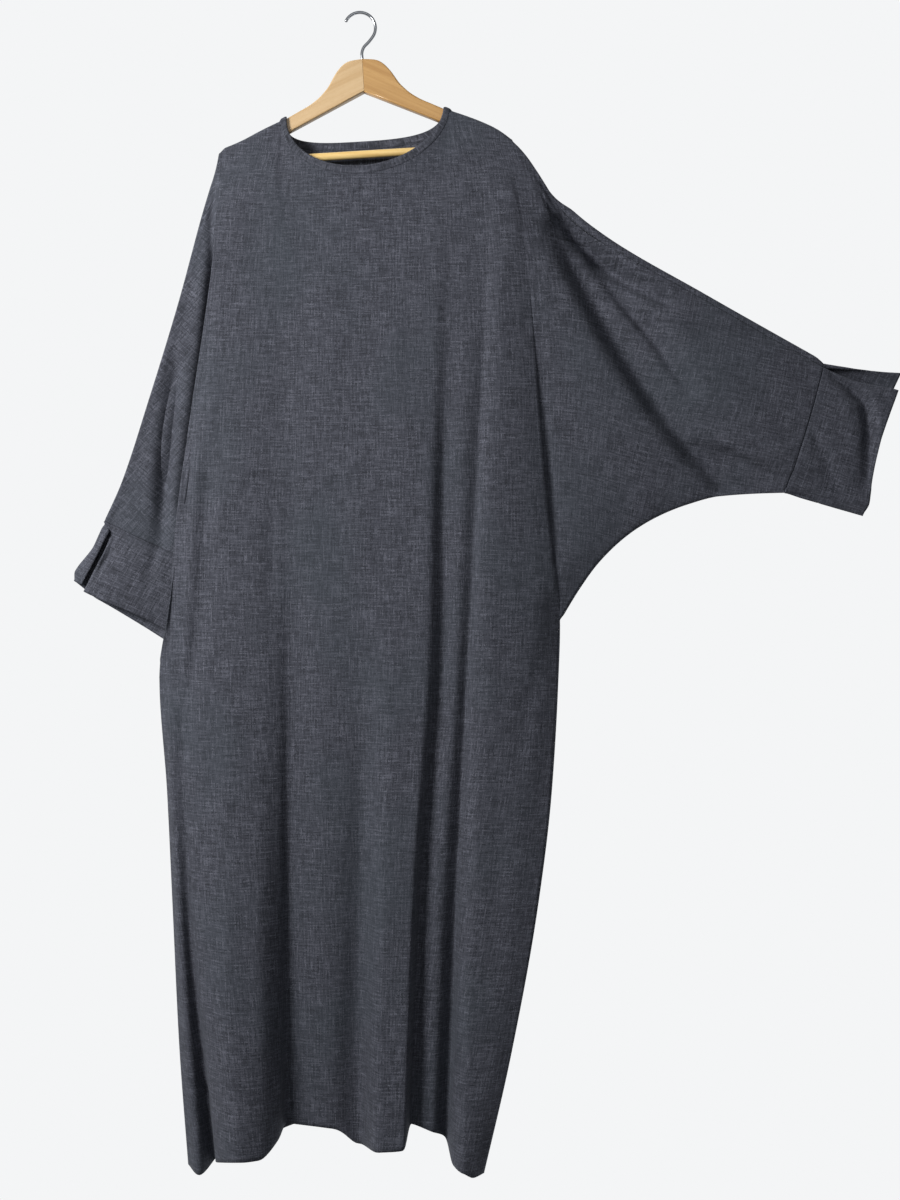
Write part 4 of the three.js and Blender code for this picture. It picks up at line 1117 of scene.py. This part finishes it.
def makeBar():
    bm = bmesh.new()
    radius = hanger["barDiameter"] / 2 * mm
    length = 2 * (hanger["halfSpan"] - hanger["barInset"] - hanger["barGap"]) * mm
    bmesh.ops.create_cone(bm, cap_ends=True, segments=40, radius1=radius, radius2=radius, depth=length)
    rims = [e for e in bm.edges if abs(e.verts[0].co.z + e.verts[1].co.z) > length * 0.98]
    bmesh.ops.bevel(bm, geom=rims, offset=0.8 * mm, segments=3, profile=0.5, affect="EDGES", material=-1)
    cx, cz = tilted(0, -hanger["barDrop"])
    c, s = math.cos(hanger["tilt"]), math.sin(hanger["tilt"])
    for vert in bm.verts:
        along, below = vert.co.z, vert.co.x
        vert.co = (cx * mm + along * c + below * s, vert.co.y, cz * mm + along * s - below * c)
    bmesh.ops.recalc_face_normals(bm, faces=bm.faces)
    return finishPiece(bm, "hangerBar", ashBar)


bar = makeBar()
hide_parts("hanger_bar")


hookArc = {"start": 158, "step": 15.5, "turns": 13}  # degrees from the tip round the crown
hookFoot = [(9.5, 26), (2.2, 18), (-0.6, 10), (0, 0)]  # then down to the wood, from where it enters


def makeHook():
    reach = hanger["hookRadius"] + hanger["hookWire"] / 2
    points = []
    for i in range(hookArc["turns"]):
        turn = math.radians(hookArc["start"] - hookArc["step"] * i)
        points.append(Vector((reach * math.cos(turn), reach * math.sin(turn) - hanger["hookRadius"])))
    footX, footZ = tilted(0, 0.3)
    points += [Vector((footX + x, footZ + above)) for x, above in hookFoot]
    ends = [points[0] * 2 - points[1]] + points + [points[-1] * 2 - points[-2]]
    path = []
    for i in range(1, len(ends) - 2):
        # a centripetal Catmull-Rom curve: four points are blended down to one
        near = ends[i - 1 : i + 3]
        keys = [0.0]
        for a, b in zip(near, near[1:]):
            keys.append(keys[-1] + (b - a).length ** 0.5)
        for step in range(8):
            t = lerp(keys[1], keys[2], step / 8)
            level = near
            for first, span in ((0, 1), (0, 2), (1, 1)):
                level = [
                    a.lerp(b, (t - keys[k]) / (keys[k + span] - keys[k]))
                    for k, (a, b) in enumerate(zip(level, level[1:]), first)
                ]
            path.append(level[0])
    path.append(points[-1])
    count, around = len(path) - 1, 20
    grid = []
    for i, centre in enumerate(path):
        along = (path[min(i + 1, count)] - path[max(i - 1, 0)]).normalized()
        normal = Vector((-along.y, along.x))
        # the tip is rounded off over its last millimetre or two
        run = (centre - path[0]).length
        radius = hanger["hookWire"] / 2 * (math.sqrt(max(1 - (1 - run / 2) ** 2, 0.02)) if run < 2 else 1)
        line = []
        for k in range(around + 1):
            angle = k / around * math.tau
            line.append((
                centre.x + normal.x * radius * math.cos(angle),
                centre.y + normal.y * radius * math.cos(angle),
                radius * math.sin(angle),
            ))
        grid.append(line)
    zeros = [[0] * (around + 1) for _ in grid]
    bm = mappedGrid(grid, (zeros, zeros))
    bmesh.ops.remove_doubles(bm, verts=bm.verts, dist=0.005 * mm)
    bmesh.ops.holes_fill(bm, edges=[e for e in bm.edges if e.is_boundary], sides=0)
    bmesh.ops.recalc_face_normals(bm, faces=bm.faces)
    return finishPiece(bm, "hangerHook", platedWire)


hook = makeHook()
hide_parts("hanger_hook")
print("hanger made")
